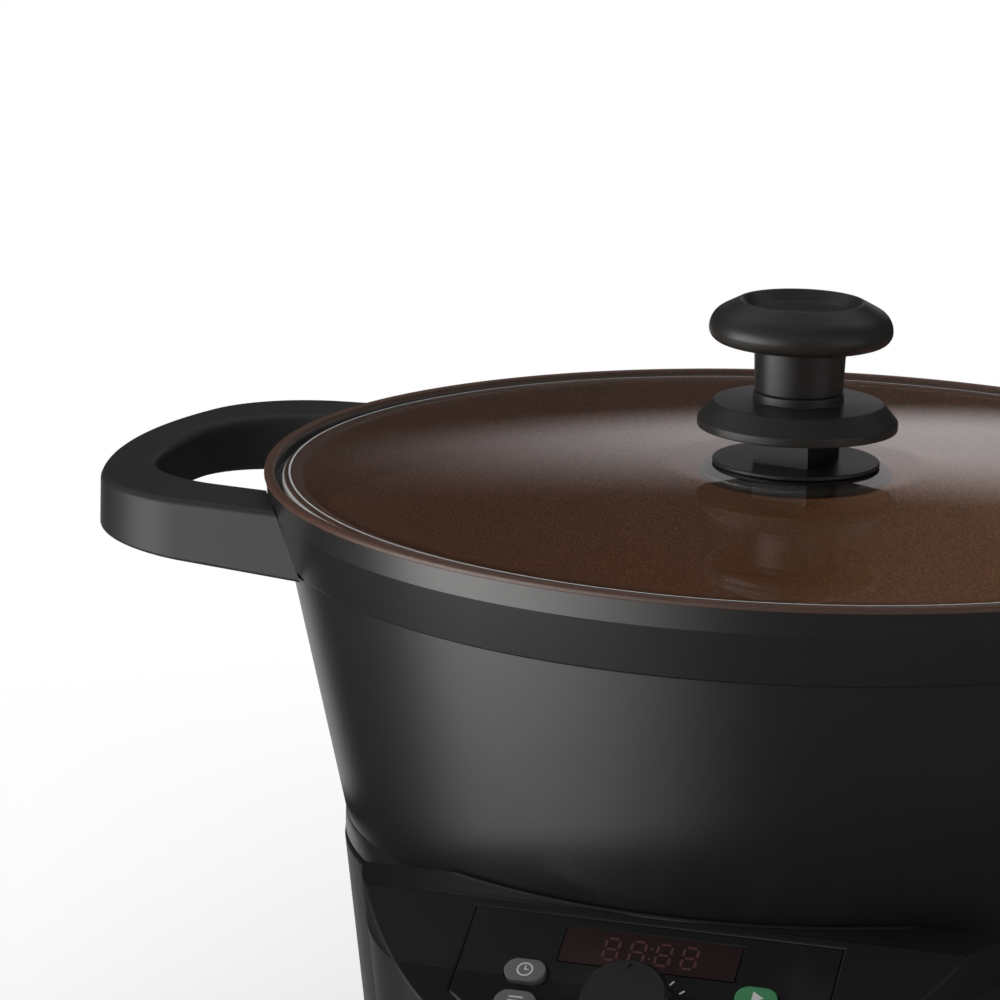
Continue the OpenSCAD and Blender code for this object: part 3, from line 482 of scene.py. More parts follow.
def rounded(points):
    """An outline with arcs at its corners: each point is (across, up) or (across, up, corner radius)."""
    corners = [Vector(point[:2]) for point in points]
    outline = []
    for i, point in enumerate(points):
        here = corners[i]
        if len(point) < 3:
            outline.append(here)
            continue
        radius = point[2]
        back = (corners[i - 1] - here).normalized()
        ahead = (corners[i + 1] - here).normalized()
        half = back.angle(ahead) / 2
        centre = here + (back + ahead).normalized() * radius / math.sin(half)
        start = here + back * radius / math.tan(half) - centre
        end = here + ahead * radius / math.tan(half) - centre
        sweep = math.atan2(start.x * end.y - start.y * end.x, start.dot(end))
        steps = max(2, round(abs(sweep) / ARC_STEP))
        outline += [centre + Matrix.Rotation(sweep * k / steps, 2) @ start for k in range(steps + 1)]
    return outline


def steps_between(start, end, count):
    return [start + (end - start) * k / count for k in range(count + 1)]


def arc(centre, radius, start, end, count):
    """Points along an arc from one angle to another."""
    return [centre + Vector((math.cos(angle), math.sin(angle))) * radius
            for angle in steps_between(start, end, count)]


def turned(outline, steps=LATHE_STEPS):
    """A bmesh turned about Z from an outline of (radius, height)."""
    bm = bmesh.new()
    verts = [bm.verts.new((point.x, 0, point.y)) for point in outline]
    edges = [bm.edges.new(pair) for pair in zip(verts, verts[1:])]
    bmesh.ops.spin(
        bm, geom=verts + edges, cent=(0, 0, 0), axis=(0, 0, 1), angle=math.tau, steps=steps, use_merge=True)
    bmesh.ops.remove_doubles(bm, verts=bm.verts, dist=WELD)
    bmesh.ops.recalc_face_normals(bm, faces=bm.faces)
    return bm


# %% [markdown]
# Softened forms
#
# Moulded pieces have their form in the frame already, with crisp edges, and modelling them again would
# only add errors. `softened` copies the node, merges its loose triangles, joins the flat ones and rounds
# the crisp edges that a test picks. A Bevel modifier with an angle limit would round them all, also deep
# inside where nobody looks.


# %% Softened copies of moulded pieces
FLAT_ANGLE = math.radians(0.5)
CRISP_ANGLE = math.radians(28)
NODE_WELD = 2e-6


def round_edges(bm, edges, width, segments=4):
    bmesh.ops.bevel(
        bm, geom=edges, offset=width, offset_type="OFFSET", affect="EDGES", segments=segments, profile=0.5,
        clamp_overlap=False, material=-1)


def crisp(edge):
    return edge.is_manifold and edge.calc_face_angle(0) > CRISP_ANGLE


def softened(node, width, wanted):
    """A bmesh copy of a node whose crisp edges are rounded where a test wants it."""
    bm = bmesh.new()
    bm.from_mesh(nodes[node].data)
    bmesh.ops.remove_doubles(bm, verts=bm.verts, dist=NODE_WELD)
    bmesh.ops.dissolve_limit(bm, angle_limit=FLAT_ANGLE, verts=bm.verts, edges=bm.edges)
    edges = [edge for edge in bm.edges if crisp(edge) and wanted(edge)]
    round_edges(bm, edges, width)
    print(node, "softened by", width, "m on", len(edges), "edges")
    return bm


def reach(point):
    """Distance of a point from the cooker's axis."""
    return math.hypot(point.x, point.y)


def each_end(edge, test):
    return all(test(vert.co) for vert in edge.verts)


# %% [markdown]
# Plastics
#
# The blacks are not one black: the handles and the knob have a fine moulded grain, and the panel is smooth
# and shows how it was wiped. Each could be a flat colour with one roughness, but real mouldings vary by a
# few per cent all over, and that is what these noises are for.


# %% Plastics
INK = (0.42, 0.42, 0.41, 1)
PATCH, TONE_SPREAD = 0.035, 0.14
ROUGH_PATCH, ROUGH_GRAIN = 0.1, 0.08
WIPE, WIPE_STRETCH, WIPE_DEPTH, WIPE_ROUGH = 0.004, (1, 12, 12), 0.000002, 0.05
SMUDGE, SMUDGE_EDGE, SMUDGE_LIGHTER, SMUDGE_ROUGH = 0.022, (0.62, 0.1), 1.3, 0.08


def shade(tone, share=1.0):
    """A tone made lighter or darker, as a colour."""
    return [part * share for part in tone] + [1]


def spark_grain(finish, size):
    return finish.noise(size, detail=3.0, roughness=0.6)


def broad_patches(finish):
    return finish.noise(PATCH, detail=3.0)


def wiping_marks(finish):
    return finish.noise(WIPE, detail=4.0, place=finish.stretched(WIPE_STRETCH))


def moulded(name, tone, rough, grain, depth, specular=0.5, marks=None):
    """Moulded plastic: a fine spark-eroded grain, slightly patchy gloss and tone, and printed marks."""
    finish = Finish(name + "_finish")
    fine, patches = spark_grain(finish, grain), broad_patches(finish)
    tint = finish.mix(patches, shade(tone, 1 - TONE_SPREAD), shade(tone, 1 + TONE_SPREAD))
    if marks:
        tint = finish.mix(marks(finish), tint, INK)
    return finish.done(finish.shader(
        Base_Color=tint, Roughness=rough + (patches - 0.5) * ROUGH_PATCH + (fine - 0.5) * ROUGH_GRAIN,
        Specular_IOR_Level=specular, Normal=finish.bump(fine, depth)))


def wiped(name, tone, rough, marks, ink=INK):
    """Smooth plastic: faint wiping marks all one way, a few soft smudges, and printed marks."""
    finish = Finish(name + "_finish")
    wiping = wiping_marks(finish)
    smudge = finish.noise(SMUDGE).above(*SMUDGE_EDGE)
    tint = finish.mix(smudge, shade(tone), shade(tone, SMUDGE_LIGHTER))
    return finish.done(finish.shader(
        Base_Color=finish.mix(marks(finish), tint, ink),
        Roughness=rough + wiping * WIPE_ROUGH + smudge * SMUDGE_ROUGH,
        Normal=finish.bump(wiping, WIPE_DEPTH)))


# %% [markdown]
# Metals
#
# Sheet, screws and the dial show the streaks of the way they were drawn, and the hotplate the rings of a
# lathe. Anisotropic shading would stretch the highlights too, but it can't be baked. Streaks and rings in
# the roughness and the normal can.


# %% Metals
STREAK, STREAK_DEPTH, STREAK_ROUGH = 0.0012, 0.000006, 0.14
STAIN, STAIN_SHARE, STAIN_ROUGH = 0.018, 0.85, 0.08
RING_DEPTH, RING_ROUGH = 0.00001, 0.05
PLATE_STAIN, PLATE_STAIN_SHARE, PLATE_STAIN_ROUGH = 0.02, 0.82, 0.12


def metal(name, tone, rough, streak):
    """Bare metal with drawn streaks; streak stretches them along an axis."""
    finish = Finish(name + "_finish")
    drawn = finish.noise(STREAK, detail=4.0, place=finish.stretched(streak))
    stains = finish.noise(STAIN, detail=3.0)
    return finish.done(finish.shader(
        Base_Color=finish.mix(stains, shade(tone, STAIN_SHARE), shade(tone)), Metallic=1.0,
        Roughness=rough + drawn * STREAK_ROUGH + stains * STAIN_ROUGH,
        Normal=finish.bump(drawn, STREAK_DEPTH)))


def turned_metal(name, tone, rough, pitch):
    """Metal faced on a lathe: rings about the axis, with stains."""
    finish = Finish(name + "_finish")
    rings = (finish.away() / pitch).wave()
    stains = finish.noise(PLATE_STAIN, detail=3.0)
    return finish.done(finish.shader(
        Base_Color=finish.mix(stains, shade(tone, PLATE_STAIN_SHARE), shade(tone)), Metallic=1.0,
        Roughness=rough + stains * PLATE_STAIN_ROUGH + rings * RING_ROUGH,
        Normal=finish.bump(rings, RING_DEPTH)))


# %% [markdown]
# The pot's coating
#
# One casting, two colours: satin black outside, copper-brown non-stick inside and over the lip. Two
# materials on one mesh would do it too, but the border runs along the lip, so a mask from height and
# distance to the axis is enough. It follows the straight wall, so the rounded bottom edge keeps a thin line
# of brown. The brown holds metal flakes: small cells, each with its own brightness.

# %% Pot's coating
BOTTOM_Z, RIM = (corner.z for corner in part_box("pot_shell"))
SEAT_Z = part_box("lid_glass")[0].z
LEDGE_IN, SHOULDER_DROP = 0.0008, 0.0216
LEDGE_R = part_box("lid_glass")[1].x - LEDGE_IN
SHOULDER_Z = RIM - SHOULDER_DROP
WALL_TOP_R, WALL_LEAN, HALF_WALL = 0.1372, math.tan(math.radians(13.4)), 0.002
LIP_BAND, SEAT_SLACK = 0.0015, 0.0004
BORDER, LIP_BORDER = 0.0002, 0.0001
COAT_DARK, COAT_LIGHT = grey(0.009, 0.03), grey(0.013, 0.03)
COPPER_DARK, COPPER_LIGHT = (0.27, 0.118, 0.055, 1), (0.46, 0.215, 0.1, 1)
# A darker brown, with the same flakes, on the lip band and on the ledge where the glass sits.
LIP_BROWN_DARK, LIP_BROWN_LIGHT = (0.05, 0.023, 0.015, 1), (0.085, 0.038, 0.024, 1)
CAST_GRAIN, COAT_PATCH, FLAKE, FLAKE_EDGE, GRAIN_DEPTH = 0.0006, 0.05, 0.0003, (0.6, 0.35), 0.000004
SATIN, SATIN_PATCH, SATIN_GRAIN = 0.3, 0.06, 0.08
BROWN_ROUGH, FLAKE_GLOSS, BROWN_METAL, COAT_SPECULAR = 0.46, 0.1, 0.45, 0.85


def wall_r(z):
    """Radius of the pot's leaning wall at a height, as a number or a Value."""
    return WALL_TOP_R - (SHOULDER_Z - z) * WALL_LEAN


def pot_finish():
    finish = Finish("pot_coating_finish")
    z, away = finish.axes()[2], finish.away()
    under_seat, over_seat = (SEAT_Z - SEAT_SLACK, BORDER), (SEAT_Z + SEAT_SLACK, BORDER)
    within = (wall_r(z) - HALF_WALL - away).above(0, BORDER)
    in_bowl = within * z.between((BOTTOM_Z + HALF_WALL, BORDER), under_seat)
    on_ledge = away.below(LEDGE_R, BORDER) * z.between(under_seat, over_seat)
    edge = z.above(RIM - LIP_BAND, LIP_BORDER) + on_ledge
    brown = in_bowl + edge

    cast = finish.noise(CAST_GRAIN, detail=1.0)
    patches = finish.noise(COAT_PATCH, detail=3.0)
    flake = finish.node("ShaderNodeSeparateColor", None, {0: finish.cells(FLAKE)}).above(*FLAKE_EDGE)
    black = finish.mix(patches, COAT_DARK, COAT_LIGHT)
    copper = finish.mix(flake, COPPER_DARK, COPPER_LIGHT)
    # The darker brown of the lip band and of the glass's ledge.
    lip_brown = finish.mix(flake, LIP_BROWN_DARK, LIP_BROWN_LIGHT)
    satin = SATIN + (patches - 0.5) * SATIN_PATCH + (cast - 0.5) * SATIN_GRAIN
    return finish.done(finish.shader(
        Base_Color=finish.mix(edge, finish.mix(brown, black, copper), lip_brown), Metallic=in_bowl * BROWN_METAL,
        Roughness=satin * (1 - brown) + (BROWN_ROUGH - flake * FLAKE_GLOSS) * brown,
        Specular_IOR_Level=COAT_SPECULAR,
        Normal=finish.bump(cast * (1 - brown) + flake * brown, GRAIN_DEPTH)))


print("pot stands from", round(BOTTOM_Z, 4), "to", round(RIM, 4), "m")

# %% [markdown]
# The lid's glass
#
# Clear glass is one Principled setting. Its rounded edge gets a pale ring, a ground edge that is also a
# painted highlight, and a finer white line where the top face ends, a painted highlight. Rings by distance
# from the axis do for both. Light that makes shadows goes straight through a tinted surface, because
# refracted light would need far more samples.

# %% Glass
# Painted highlights on the glass: a pale ring on the rounded edge, also standing for a ground edge, and a
# thin white line where the top face ends.
GLASS_EDGE_R, LINE_W, LINE_SOFT, HIGHLIGHT_LINE_WHITE = 0.1371, 0.00025, 0.0001, 0.45
GROUND_HIGHLIGHT_R, GROUND_HIGHLIGHT_SOFT, GROUND_HIGHLIGHT_WHITE = 0.1386, 0.0002, 0.6
FROST_HIGHLIGHT_DARK, FROST_HIGHLIGHT_LIGHT = (0.7, 0.73, 0.72, 1), (0.85, 0.88, 0.87, 1)
FROST_PATCH, FROST_ROUGH = 0.002, 0.4
GLASS_TINT, WIPED_TINT = (0.97, 0.985, 0.98, 1), (0.95, 0.97, 0.965, 1)
GLASS_SHADOW = (0.9, 0.92, 0.91, 1)
GLASS_WIPE, GLASS_WIPE_EDGE, GLASS_WIPE_ROUGH = 0.03, (0.6, 0.2), 0.012


def glass_finish():
    finish = Finish("clear_glass_finish")
    away = finish.away()
    # Painted highlight: a thin white line where the top face ends, added to the ring on the rounded edge.
    highlight_line = abs(away - GLASS_EDGE_R).below(LINE_W, LINE_SOFT) * HIGHLIGHT_LINE_WHITE
    ground_and_highlight = away.above(GROUND_HIGHLIGHT_R, GROUND_HIGHLIGHT_SOFT) * GROUND_HIGHLIGHT_WHITE + highlight_line
    # The pale surface of ring and line: partly frosted glass, partly painted highlight.
    frost_and_highlight = finish.shader(
        Base_Color=finish.mix(finish.noise(FROST_PATCH), FROST_HIGHLIGHT_DARK, FROST_HIGHLIGHT_LIGHT), Roughness=FROST_ROUGH)
    wiping = finish.noise(GLASS_WIPE, detail=3.0).above(*GLASS_WIPE_EDGE)
    clear = finish.shader(
        Base_Color=finish.mix(wiping, GLASS_TINT, WIPED_TINT), Transmission_Weight=1.0, IOR=1.5,
        Roughness=wiping * GLASS_WIPE_ROUGH)
    highlighted_edge = finish.blend(ground_and_highlight, clear, frost_and_highlight)
    return finish.done(finish.blend(finish.ray("Is Shadow Ray"), highlighted_edge, finish.clear(GLASS_SHADOW)))


# %% [markdown]
# The control face
#
# The face is smoother than the rest of the cowl and carries pale print: ticks round the dial, a sign on
# each key, and the unlit segments behind the window. Print could be cut as thin plates, but it has no height
# worth showing. It is a mask, measured along the slope: `u` runs to the right and `v` down from the ridge.

# %% Places on the control face
RIDGE_Y = -0.124
FACE_TOP = Vector((0, RIDGE_Y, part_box("front_cowl")[1].z))
FACE_SLOPE = math.radians(35)
FACE_DOWN = Vector((0, -math.cos(FACE_SLOPE), -math.sin(FACE_SLOPE)))
FACE_OUT = Vector((0, -math.sin(FACE_SLOPE), math.cos(FACE_SLOPE)))
KEY_ACROSS, KEY_UPPER, KEY_LOWER = 0.03, 0.022, 0.032
DIAL_DOWN, WINDOW_DOWN = 0.033, 0.0115
PRINT_SOFT = 0.00006


def on_face(finish, middle_across, middle_down):
    """Distances to the right of a point on the face and down from it."""
    return finish.axes()[0] - middle_across, finish.along(FACE_DOWN, FACE_TOP) - middle_down


def disc(u, v, radius):
    return length(u, v).below(radius, PRINT_SOFT)


def bar(u, v, half_width, half_height):
    return abs(u).below(half_width, PRINT_SOFT) * abs(v).below(half_height, PRINT_SOFT)


print("ridge of the control face is at", round(FACE_TOP.z, 4), "m")

# %% [markdown]
# Signs on the keys
#
# Each sign is a few bars, discs and one arrow. A font would need a text object for each key, while a mask
# moves with its key by itself, because it is drawn in the key's own coordinates.

# %% Signs
ARROW_BACK, ARROW_TIP, ARROW_SPREAD = -0.001, 0.002, 1.7
SQUARE_HALF = 0.0013
CLOCK_OUT, CLOCK_IN = 0.0021, 0.0017
HAND_HALF, LONG_HAND, SHORT_HAND = 0.00018, 0.0007, 0.0006
LONG_HAND_UP, SHORT_HAND_RIGHT = 0.0005, 0.0004
LINE_HALF, LINE_THICK, LINE_PITCH = 0.0019, 0.0002, 0.0012


def start_sign(finish):
    u, v = on_face(finish, KEY_ACROSS, KEY_UPPER)
    return u.above(ARROW_BACK, PRINT_SOFT) * (u + abs(v) * ARROW_SPREAD).below(ARROW_TIP, PRINT_SOFT)


def stop_sign(finish):
    return bar(*on_face(finish, KEY_ACROSS, KEY_LOWER), SQUARE_HALF, SQUARE_HALF)


def timer_and_menu_signs(finish):
    """A clock on the upper key and three lines on the lower one."""
    u, v = on_face(finish, -KEY_ACROSS, KEY_UPPER)
    clock = disc(u, v, CLOCK_OUT) - disc(u, v, CLOCK_IN)
    hands = bar(u, v + LONG_HAND_UP, HAND_HALF, LONG_HAND)
    hands += bar(u - SHORT_HAND_RIGHT, v, SHORT_HAND, HAND_HALF)
    u, v = on_face(finish, -KEY_ACROSS, KEY_LOWER)
    lines = bar(u, v, LINE_HALF, LINE_THICK) + bar(u, abs(v) - LINE_PITCH, LINE_HALF, LINE_THICK)
    return clock + hands + lines


# %% [markdown]
# Ticks and digits
#
# A dial has its ticks at equal turns, so one tick is drawn and the angle is rounded to the nearest step. The
# display has four equal digits, so one digit is drawn and the distance wraps at each pitch. Unlit segments
# are barely lighter than the window.

# %% Ticks and digits
TICKS, TICK_IN, TICK_OUT, TICK_HALF = 24, 0.0145, 0.0161, 0.00022
TICK_TURN, TICK_TURN_SOFT = 0.39, 0.001
DIGIT_PITCH, DIGIT_HALF_W, DIGIT_HALF_H = 0.0068, 0.0018, 0.0033
SEGMENT = 0.00035
SEGMENT_GAP = 1.6 * SEGMENT


def dial_ticks(finish):
    u, v = on_face(finish, 0, DIAL_DOWN)
    turn = u.math("ARCTAN2", u, v * -1) / math.tau
    step = turn * TICKS
    beside = abs(step - step.math("ROUND", step)) * (math.tau * TICK_IN / TICKS)
    ring = length(u, v).between((TICK_IN, PRINT_SOFT), (TICK_OUT, PRINT_SOFT))
    return ring * beside.below(TICK_HALF, PRINT_SOFT) * abs(turn).below(TICK_TURN, TICK_TURN_SOFT)


def dark_digits(finish):
    """Four digits of seven segments, all unlit, with a colon."""
    u, v = on_face(finish, 0, WINDOW_DOWN)
    cell = u.math("WRAP", u, DIGIT_PITCH, 0.0) - DIGIT_PITCH / 2
    level_half, upright_half = DIGIT_HALF_W - SEGMENT_GAP, DIGIT_HALF_H / 2 - SEGMENT_GAP
    uprights = bar(abs(cell) - DIGIT_HALF_W, abs(v) - DIGIT_HALF_H / 2, SEGMENT, upright_half)
    levels = bar(cell, abs(v) - DIGIT_HALF_H, level_half, SEGMENT)
    middle = bar(cell, v, level_half, SEGMENT)
    digits = (uprights + levels + middle) * abs(u).below(2 * DIGIT_PITCH, PRINT_SOFT)
    return digits + disc(u, abs(v) - DIGIT_HALF_H / 2, SEGMENT)


# %% [markdown]
# The cowl
#
# One moulding with two textures: grained all round, like the base, and smoother on the sloping face, as if
# its mould were polished only there. A second material could cover the face, but its border would have to
# follow the bevel, so the distance from the face's plane says which texture a point has.

# %% Cowl
COWL_GRAIN, COWL_GRAIN_DEPTH, COWL_ROUGH = 0.0007, 0.00002, 0.5
COWL_DARK, COWL_LIGHT = grey(0.009), grey(0.012)
FACE_TONE, FACE_ROUGH, FACE_WIPE_ROUGH = grey(0.008), 0.42, 0.08
FACE_EDGE = (-0.0004, 0.0003)


def cowl_finish():
    finish = Finish("cowl_gloss_finish")
    fine, patches, wiping = spark_grain(finish, COWL_GRAIN), broad_patches(finish), wiping_marks(finish)
    face = finish.along(FACE_OUT, FACE_TOP).above(*FACE_EDGE)
    matte = finish.mix(patches, COWL_DARK, COWL_LIGHT)
    grained = (COWL_ROUGH + (patches - 0.5) * ROUGH_PATCH) * (1 - face)
    return finish.done(finish.shader(
        Base_Color=finish.mix(face, matte, FACE_TONE),
        Roughness=grained + (FACE_ROUGH + wiping * FACE_WIPE_ROUGH) * face,
        Normal=finish.bump(fine * (1 - face), COWL_GRAIN_DEPTH)))


# %% [markdown]
# One finish for each slot
#
# Every slot of the record gets one finish, and each node wears the finish of its slot. Most differ only in
# a few numbers, so they are rows of a table: tone, roughness, and the size and depth of the grain.

# %% Slots
KEY_LOOK = {"rough": 0.36, "grain": 0.0005, "depth": 0.00001}
MOULDED = {
    "knob_plastic": {"tone": (0.016, 0.0152, 0.0145), "rough": 0.37, "grain": 0.0005, "depth": 0.00001,
                     "specular": 0.9},
    "seal_silicone": {"tone": (0.02, 0.02, 0.02), "rough": 0.6, "grain": 0.0008, "depth": 0.00001},
    "handle_plastic": {"tone": (0.02, 0.0195, 0.019), "rough": 0.46, "grain": 0.0006, "depth": 0.00003},
    "base_plastic": {"tone": (0.022, 0.0215, 0.021), "rough": 0.45, "grain": 0.0007, "depth": 0.00003},
    "dark_plastic": {"tone": (0.035, 0.035, 0.036), "rough": 0.5, "grain": 0.0008, "depth": 0.00002},
    "board_resin": {"tone": (0.03, 0.12, 0.06), "rough": 0.35, "grain": 0.0015, "depth": 0.00002},
    "ivory_plastic": {"tone": (0.72, 0.69, 0.6), "rough": 0.45, "grain": 0.0008, "depth": 0.00002},
    "cover_plastic": {"tone": (0.025, 0.025, 0.025), "rough": 0.5, "grain": 0.0008, "depth": 0.00003},
    "foot_rubber": {"tone": (0.03, 0.03, 0.03), "rough": 0.7, "grain": 0.0006, "depth": 0.00003,
                    "specular": 0.3},
    "button_green": {"tone": (0.04, 0.17, 0.075), "marks": start_sign, **KEY_LOOK},
    "button_red": {"tone": (0.26, 0.03, 0.025), "marks": stop_sign, **KEY_LOOK},
    "button_grey": {"tone": (0.09, 0.09, 0.094), "marks": timer_and_menu_signs, **KEY_LOOK},
}
WIPED = {
    "panel_gloss": {"tone": (0.008, 0.008, 0.0084), "rough": 0.36, "marks": dial_ticks},
    "window_tint": {"tone": (0.018, 0.01, 0.01), "rough": 0.16, "marks": dark_digits,
                    "ink": (0.06, 0.03, 0.028, 1)},
}
METAL = {
    "screw_steel": {"tone": (0.34, 0.335, 0.33), "rough": 0.38, "streak": (8, 8, 1)},
    "dial_metal": {"tone": (0.22, 0.22, 0.225), "rough": 0.3, "streak": (1, 10, 10)},
    "liner_sheet": {"tone": (0.72, 0.72, 0.71), "rough": 0.24, "streak": (1, 1, 10)},
    "element_steel": {"tone": (0.27, 0.25, 0.23), "rough": 0.35, "streak": (4, 4, 4)},
}
FINISHES = {
    "clear_glass": glass_finish(),
    "pot_coating": pot_finish(),
    "cowl_gloss": cowl_finish(),
    "hotplate_alloy": turned_metal("hotplate_alloy", tone=(0.55, 0.54, 0.53), rough=0.3, pitch=0.0009),
}
for make, table in ((moulded, MOULDED), (wiped, WIPED), (metal, METAL)):
    for name, look in table.items():
        FINISHES[name] = make(name, **look)

slot_of = {name: node.material_slots[0].material.name for name, node in nodes.items()}
for name, node in nodes.items():
    node.material_slots[0].material = FINISHES[slot_of[name]]
print("finishes set on", len(slot_of), "nodes")

# %% [markdown]
# Dressing a node
#
# A piece that is modelled again stands for its node: it moves with the same body, hides the plain solid and
# wears the same finish. Weighted normals keep large flat faces flat beside small bevels, which plain
# smooth shading would bend.


# %% Dressed pieces
def dressed(node, body, bm, smooth_degrees=SMOOTH_DEGREES):
    """A new piece that stands for a node, rides its body and wears its slot's finish."""
    piece = new_piece(node + "_dressed", bm, FINISHES[slot_of[node]], smooth_degrees)
    piece.modifiers.new("face_weights", "WEIGHTED_NORMAL").keep_sharp = True
    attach(piece, body)
    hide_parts(node)
    print(piece.name, "has", len(piece.data.polygons), "faces")
    return piece


# %% [markdown]
# The pot
#
# A casting finished on a lathe: bottom, leaning wall, shoulder, collar and lip are one outline that comes
# back down inside. The skirts at the sides are not round about the axis. They are copied from the frame,
# where the sweep of their lower edge is exact already, and set against the turned wall.

# %% Pot
LIP_R, RECESS_R, INNER_R = 0.144, 0.1412, 0.1331
COLLAR_R, COLLAR_Z = 0.1428, 0.1922
SHOULDER_STEP, LIP_STEP, LIP_RISE = 0.001, 0.0003, 0.0001
INSIDE_Z = BOTTOM_Z + 2 * HALF_WALL
BOTTOM_ROUND, INSIDE_ROUND, SHOULDER_ROUND, INNER_ROUND = 0.014, 0.012, 0.0005, 0.002
COLLAR_ROUND, LIP_FOOT_ROUND, LIP_CORNER_ROUND, LIP_ROUND = 0.0008, 0.0002, 0.00005, 0.0007
SEAT_ROUND, LEDGE_ROUND = 0.0003, 0.0008
POT_OUTLINE = rounded([
    (0, BOTTOM_Z),
    (wall_r(BOTTOM_Z), BOTTOM_Z, BOTTOM_ROUND),
    (WALL_TOP_R, SHOULDER_Z, SHOULDER_ROUND),
    (WALL_TOP_R + SHOULDER_STEP, SHOULDER_Z, SHOULDER_ROUND),
    (COLLAR_R, COLLAR_Z, COLLAR_ROUND),
    (LIP_R - LIP_STEP, RIM - LIP_BAND, LIP_FOOT_ROUND),
    (LIP_R, RIM - LIP_BAND + LIP_RISE, LIP_CORNER_ROUND),
    (LIP_R, RIM, LIP_ROUND),
    (RECESS_R, RIM, LIP_ROUND),
    (RECESS_R, SEAT_Z, SEAT_ROUND),
    (INNER_R, SEAT_Z, LEDGE_ROUND),
    (INNER_R, SHOULDER_Z, INNER_ROUND),
    (wall_r(INSIDE_Z) - WALL_TOP_R + INNER_R, INSIDE_Z, INSIDE_ROUND),
    (0, INSIDE_Z)])
PROUD, SKIRT_TOP = 0.0001, 0.1135
LUG_LOW, LUG_HIGH, LUG_R = 0.175, 0.192, 0.1435


def stands_proud(point):
    """True for skirts and lugs, which stand out from the turned wall."""
    in_skirt = point.z < SKIRT_TOP and reach(point) > wall_r(point.z) + PROUD
    in_lug = LUG_LOW < point.z < LUG_HIGH and reach(point) > LUG_R
    return in_skirt or in_lug


bm = turned(POT_OUTLINE)
extra = bmesh.new()
extra.from_mesh(nodes["pot_shell"].data)
plain_faces = [f for f in extra.faces if not stands_proud(f.calc_center_median())]
bmesh.ops.delete(extra, geom=plain_faces, context="FACES")
bmesh.ops.remove_doubles(extra, verts=extra.verts, dist=NODE_WELD)
skirt_mesh = bpy.data.meshes.new("skirts")
extra.to_mesh(skirt_mesh)
extra.free()
bm.from_mesh(skirt_mesh)
bpy.data.meshes.remove(skirt_mesh)
dressed("pot_shell", "pot", bm)

# %% [markdown]
# The lid
#
# Tempered glass pressed to a shallow cap, its edge ground round, with a hole for the knob's screw. The two
# faces are arcs of large spheres; a spin of the exact arcs refracts more cleanly than a bevelled copy.

# %% Lid
CAP_R, GLASS_TOP, GLASS_T = 1.882, 0.204, 0.004
GLASS_EDGE_Z, GLASS_ROUND, GLASS_BACK_IN = 0.197, 0.002, 0.0035
GLASS_SEAT, GLASS_BACK = 0.2037, 0.1997
HOLE_R, FLAT_TOP_R, FLAT_BACK_R = 0.0043, 0.0336, 0.026
EDGE_START = math.radians(87)
CAP_STEPS, EDGE_STEPS, LID_STEPS, LID_SMOOTH_DEGREES = 24, 18, 256, 30


def cap(r, apex):
    return Vector((r, apex - CAP_R + math.sqrt(CAP_R ** 2 - r ** 2)))


def lid_outline():
    top = [cap(r, GLASS_TOP) for r in steps_between(FLAT_TOP_R, GLASS_EDGE_R, CAP_STEPS)]
    landing = math.asin((SEAT_Z - GLASS_EDGE_Z) / GLASS_ROUND)
    edge = arc(Vector((GLASS_EDGE_R, GLASS_EDGE_Z)), GLASS_ROUND, EDGE_START, landing, EDGE_STEPS)
    back_radii = steps_between(GLASS_EDGE_R - GLASS_BACK_IN, FLAT_BACK_R, CAP_STEPS)
    back = [cap(r, GLASS_TOP - GLASS_T) for r in back_radii]
    hole = [Vector((FLAT_BACK_R, GLASS_BACK)), Vector((HOLE_R, GLASS_BACK)), Vector((HOLE_R, GLASS_SEAT))]
    return top + edge + back + hole + top[:1]


dressed("lid_glass", "lid", turned(lid_outline(), LID_STEPS), LID_SMOOTH_DEGREES)

# %% [markdown]
# The knob
#
# Two mouldings on one screw: a mushroom grip with a dished top, and a flange that keeps fingers off the
# glass. The grip is a turned form, round at every edge. The flange carries a rectangular neck, so it is a
# softened copy, with a thin foot added where the neck stands on the glass.

# %% Knob
GRIP_R, CHEEK_Z, HEAD_Z = 0.0249, 0.2445, 0.2373
DISH_R, DISH_Z, CREST_R, CREST_Z = 0.0134, 0.2458, 0.0166, 0.2489
STEM_TOP_R, STEM_R, STEM_Z, STEM_EDGE_R, STEM_EDGE_Z = 0.0125, 0.012, 0.2237, 0.0117, 0.2241
BORE_R, BORE_Z = 0.0028, 0.2343
DISH_ROUND, CREST_ROUND, CHEEK_ROUND = 0.0008, 0.0011, 0.006
HEAD_ROUND, STEM_TOP_ROUND, STEM_ROUND = 0.0035, 0.001, 0.0003
GRIP_OUTLINE = rounded([
    (0, DISH_Z),
    (DISH_R, DISH_Z, DISH_ROUND),
    (CREST_R, CREST_Z, CREST_ROUND),
    (GRIP_R, CHEEK_Z, CHEEK_ROUND),
    (GRIP_R, HEAD_Z, HEAD_ROUND),
    (STEM_TOP_R, HEAD_Z, STEM_TOP_ROUND),
    (STEM_R, STEM_EDGE_Z, STEM_ROUND),
    (STEM_EDGE_R, STEM_Z),
    (BORE_R, STEM_Z),
    (BORE_R, BORE_Z),
    (0, BORE_Z)])
GRIP_STEPS, FOOT_STEPS = 128, 96
FOOT_R, FOOT_T, FOOT_Z = 0.0227, 0.0012, 0.20375
KNOB_EDGE, FLANGE_EDGE_Z = 0.0004, 0.2045


def on_flange(edge):
    return each_end(edge, lambda point: point.z > FLANGE_EDGE_Z)


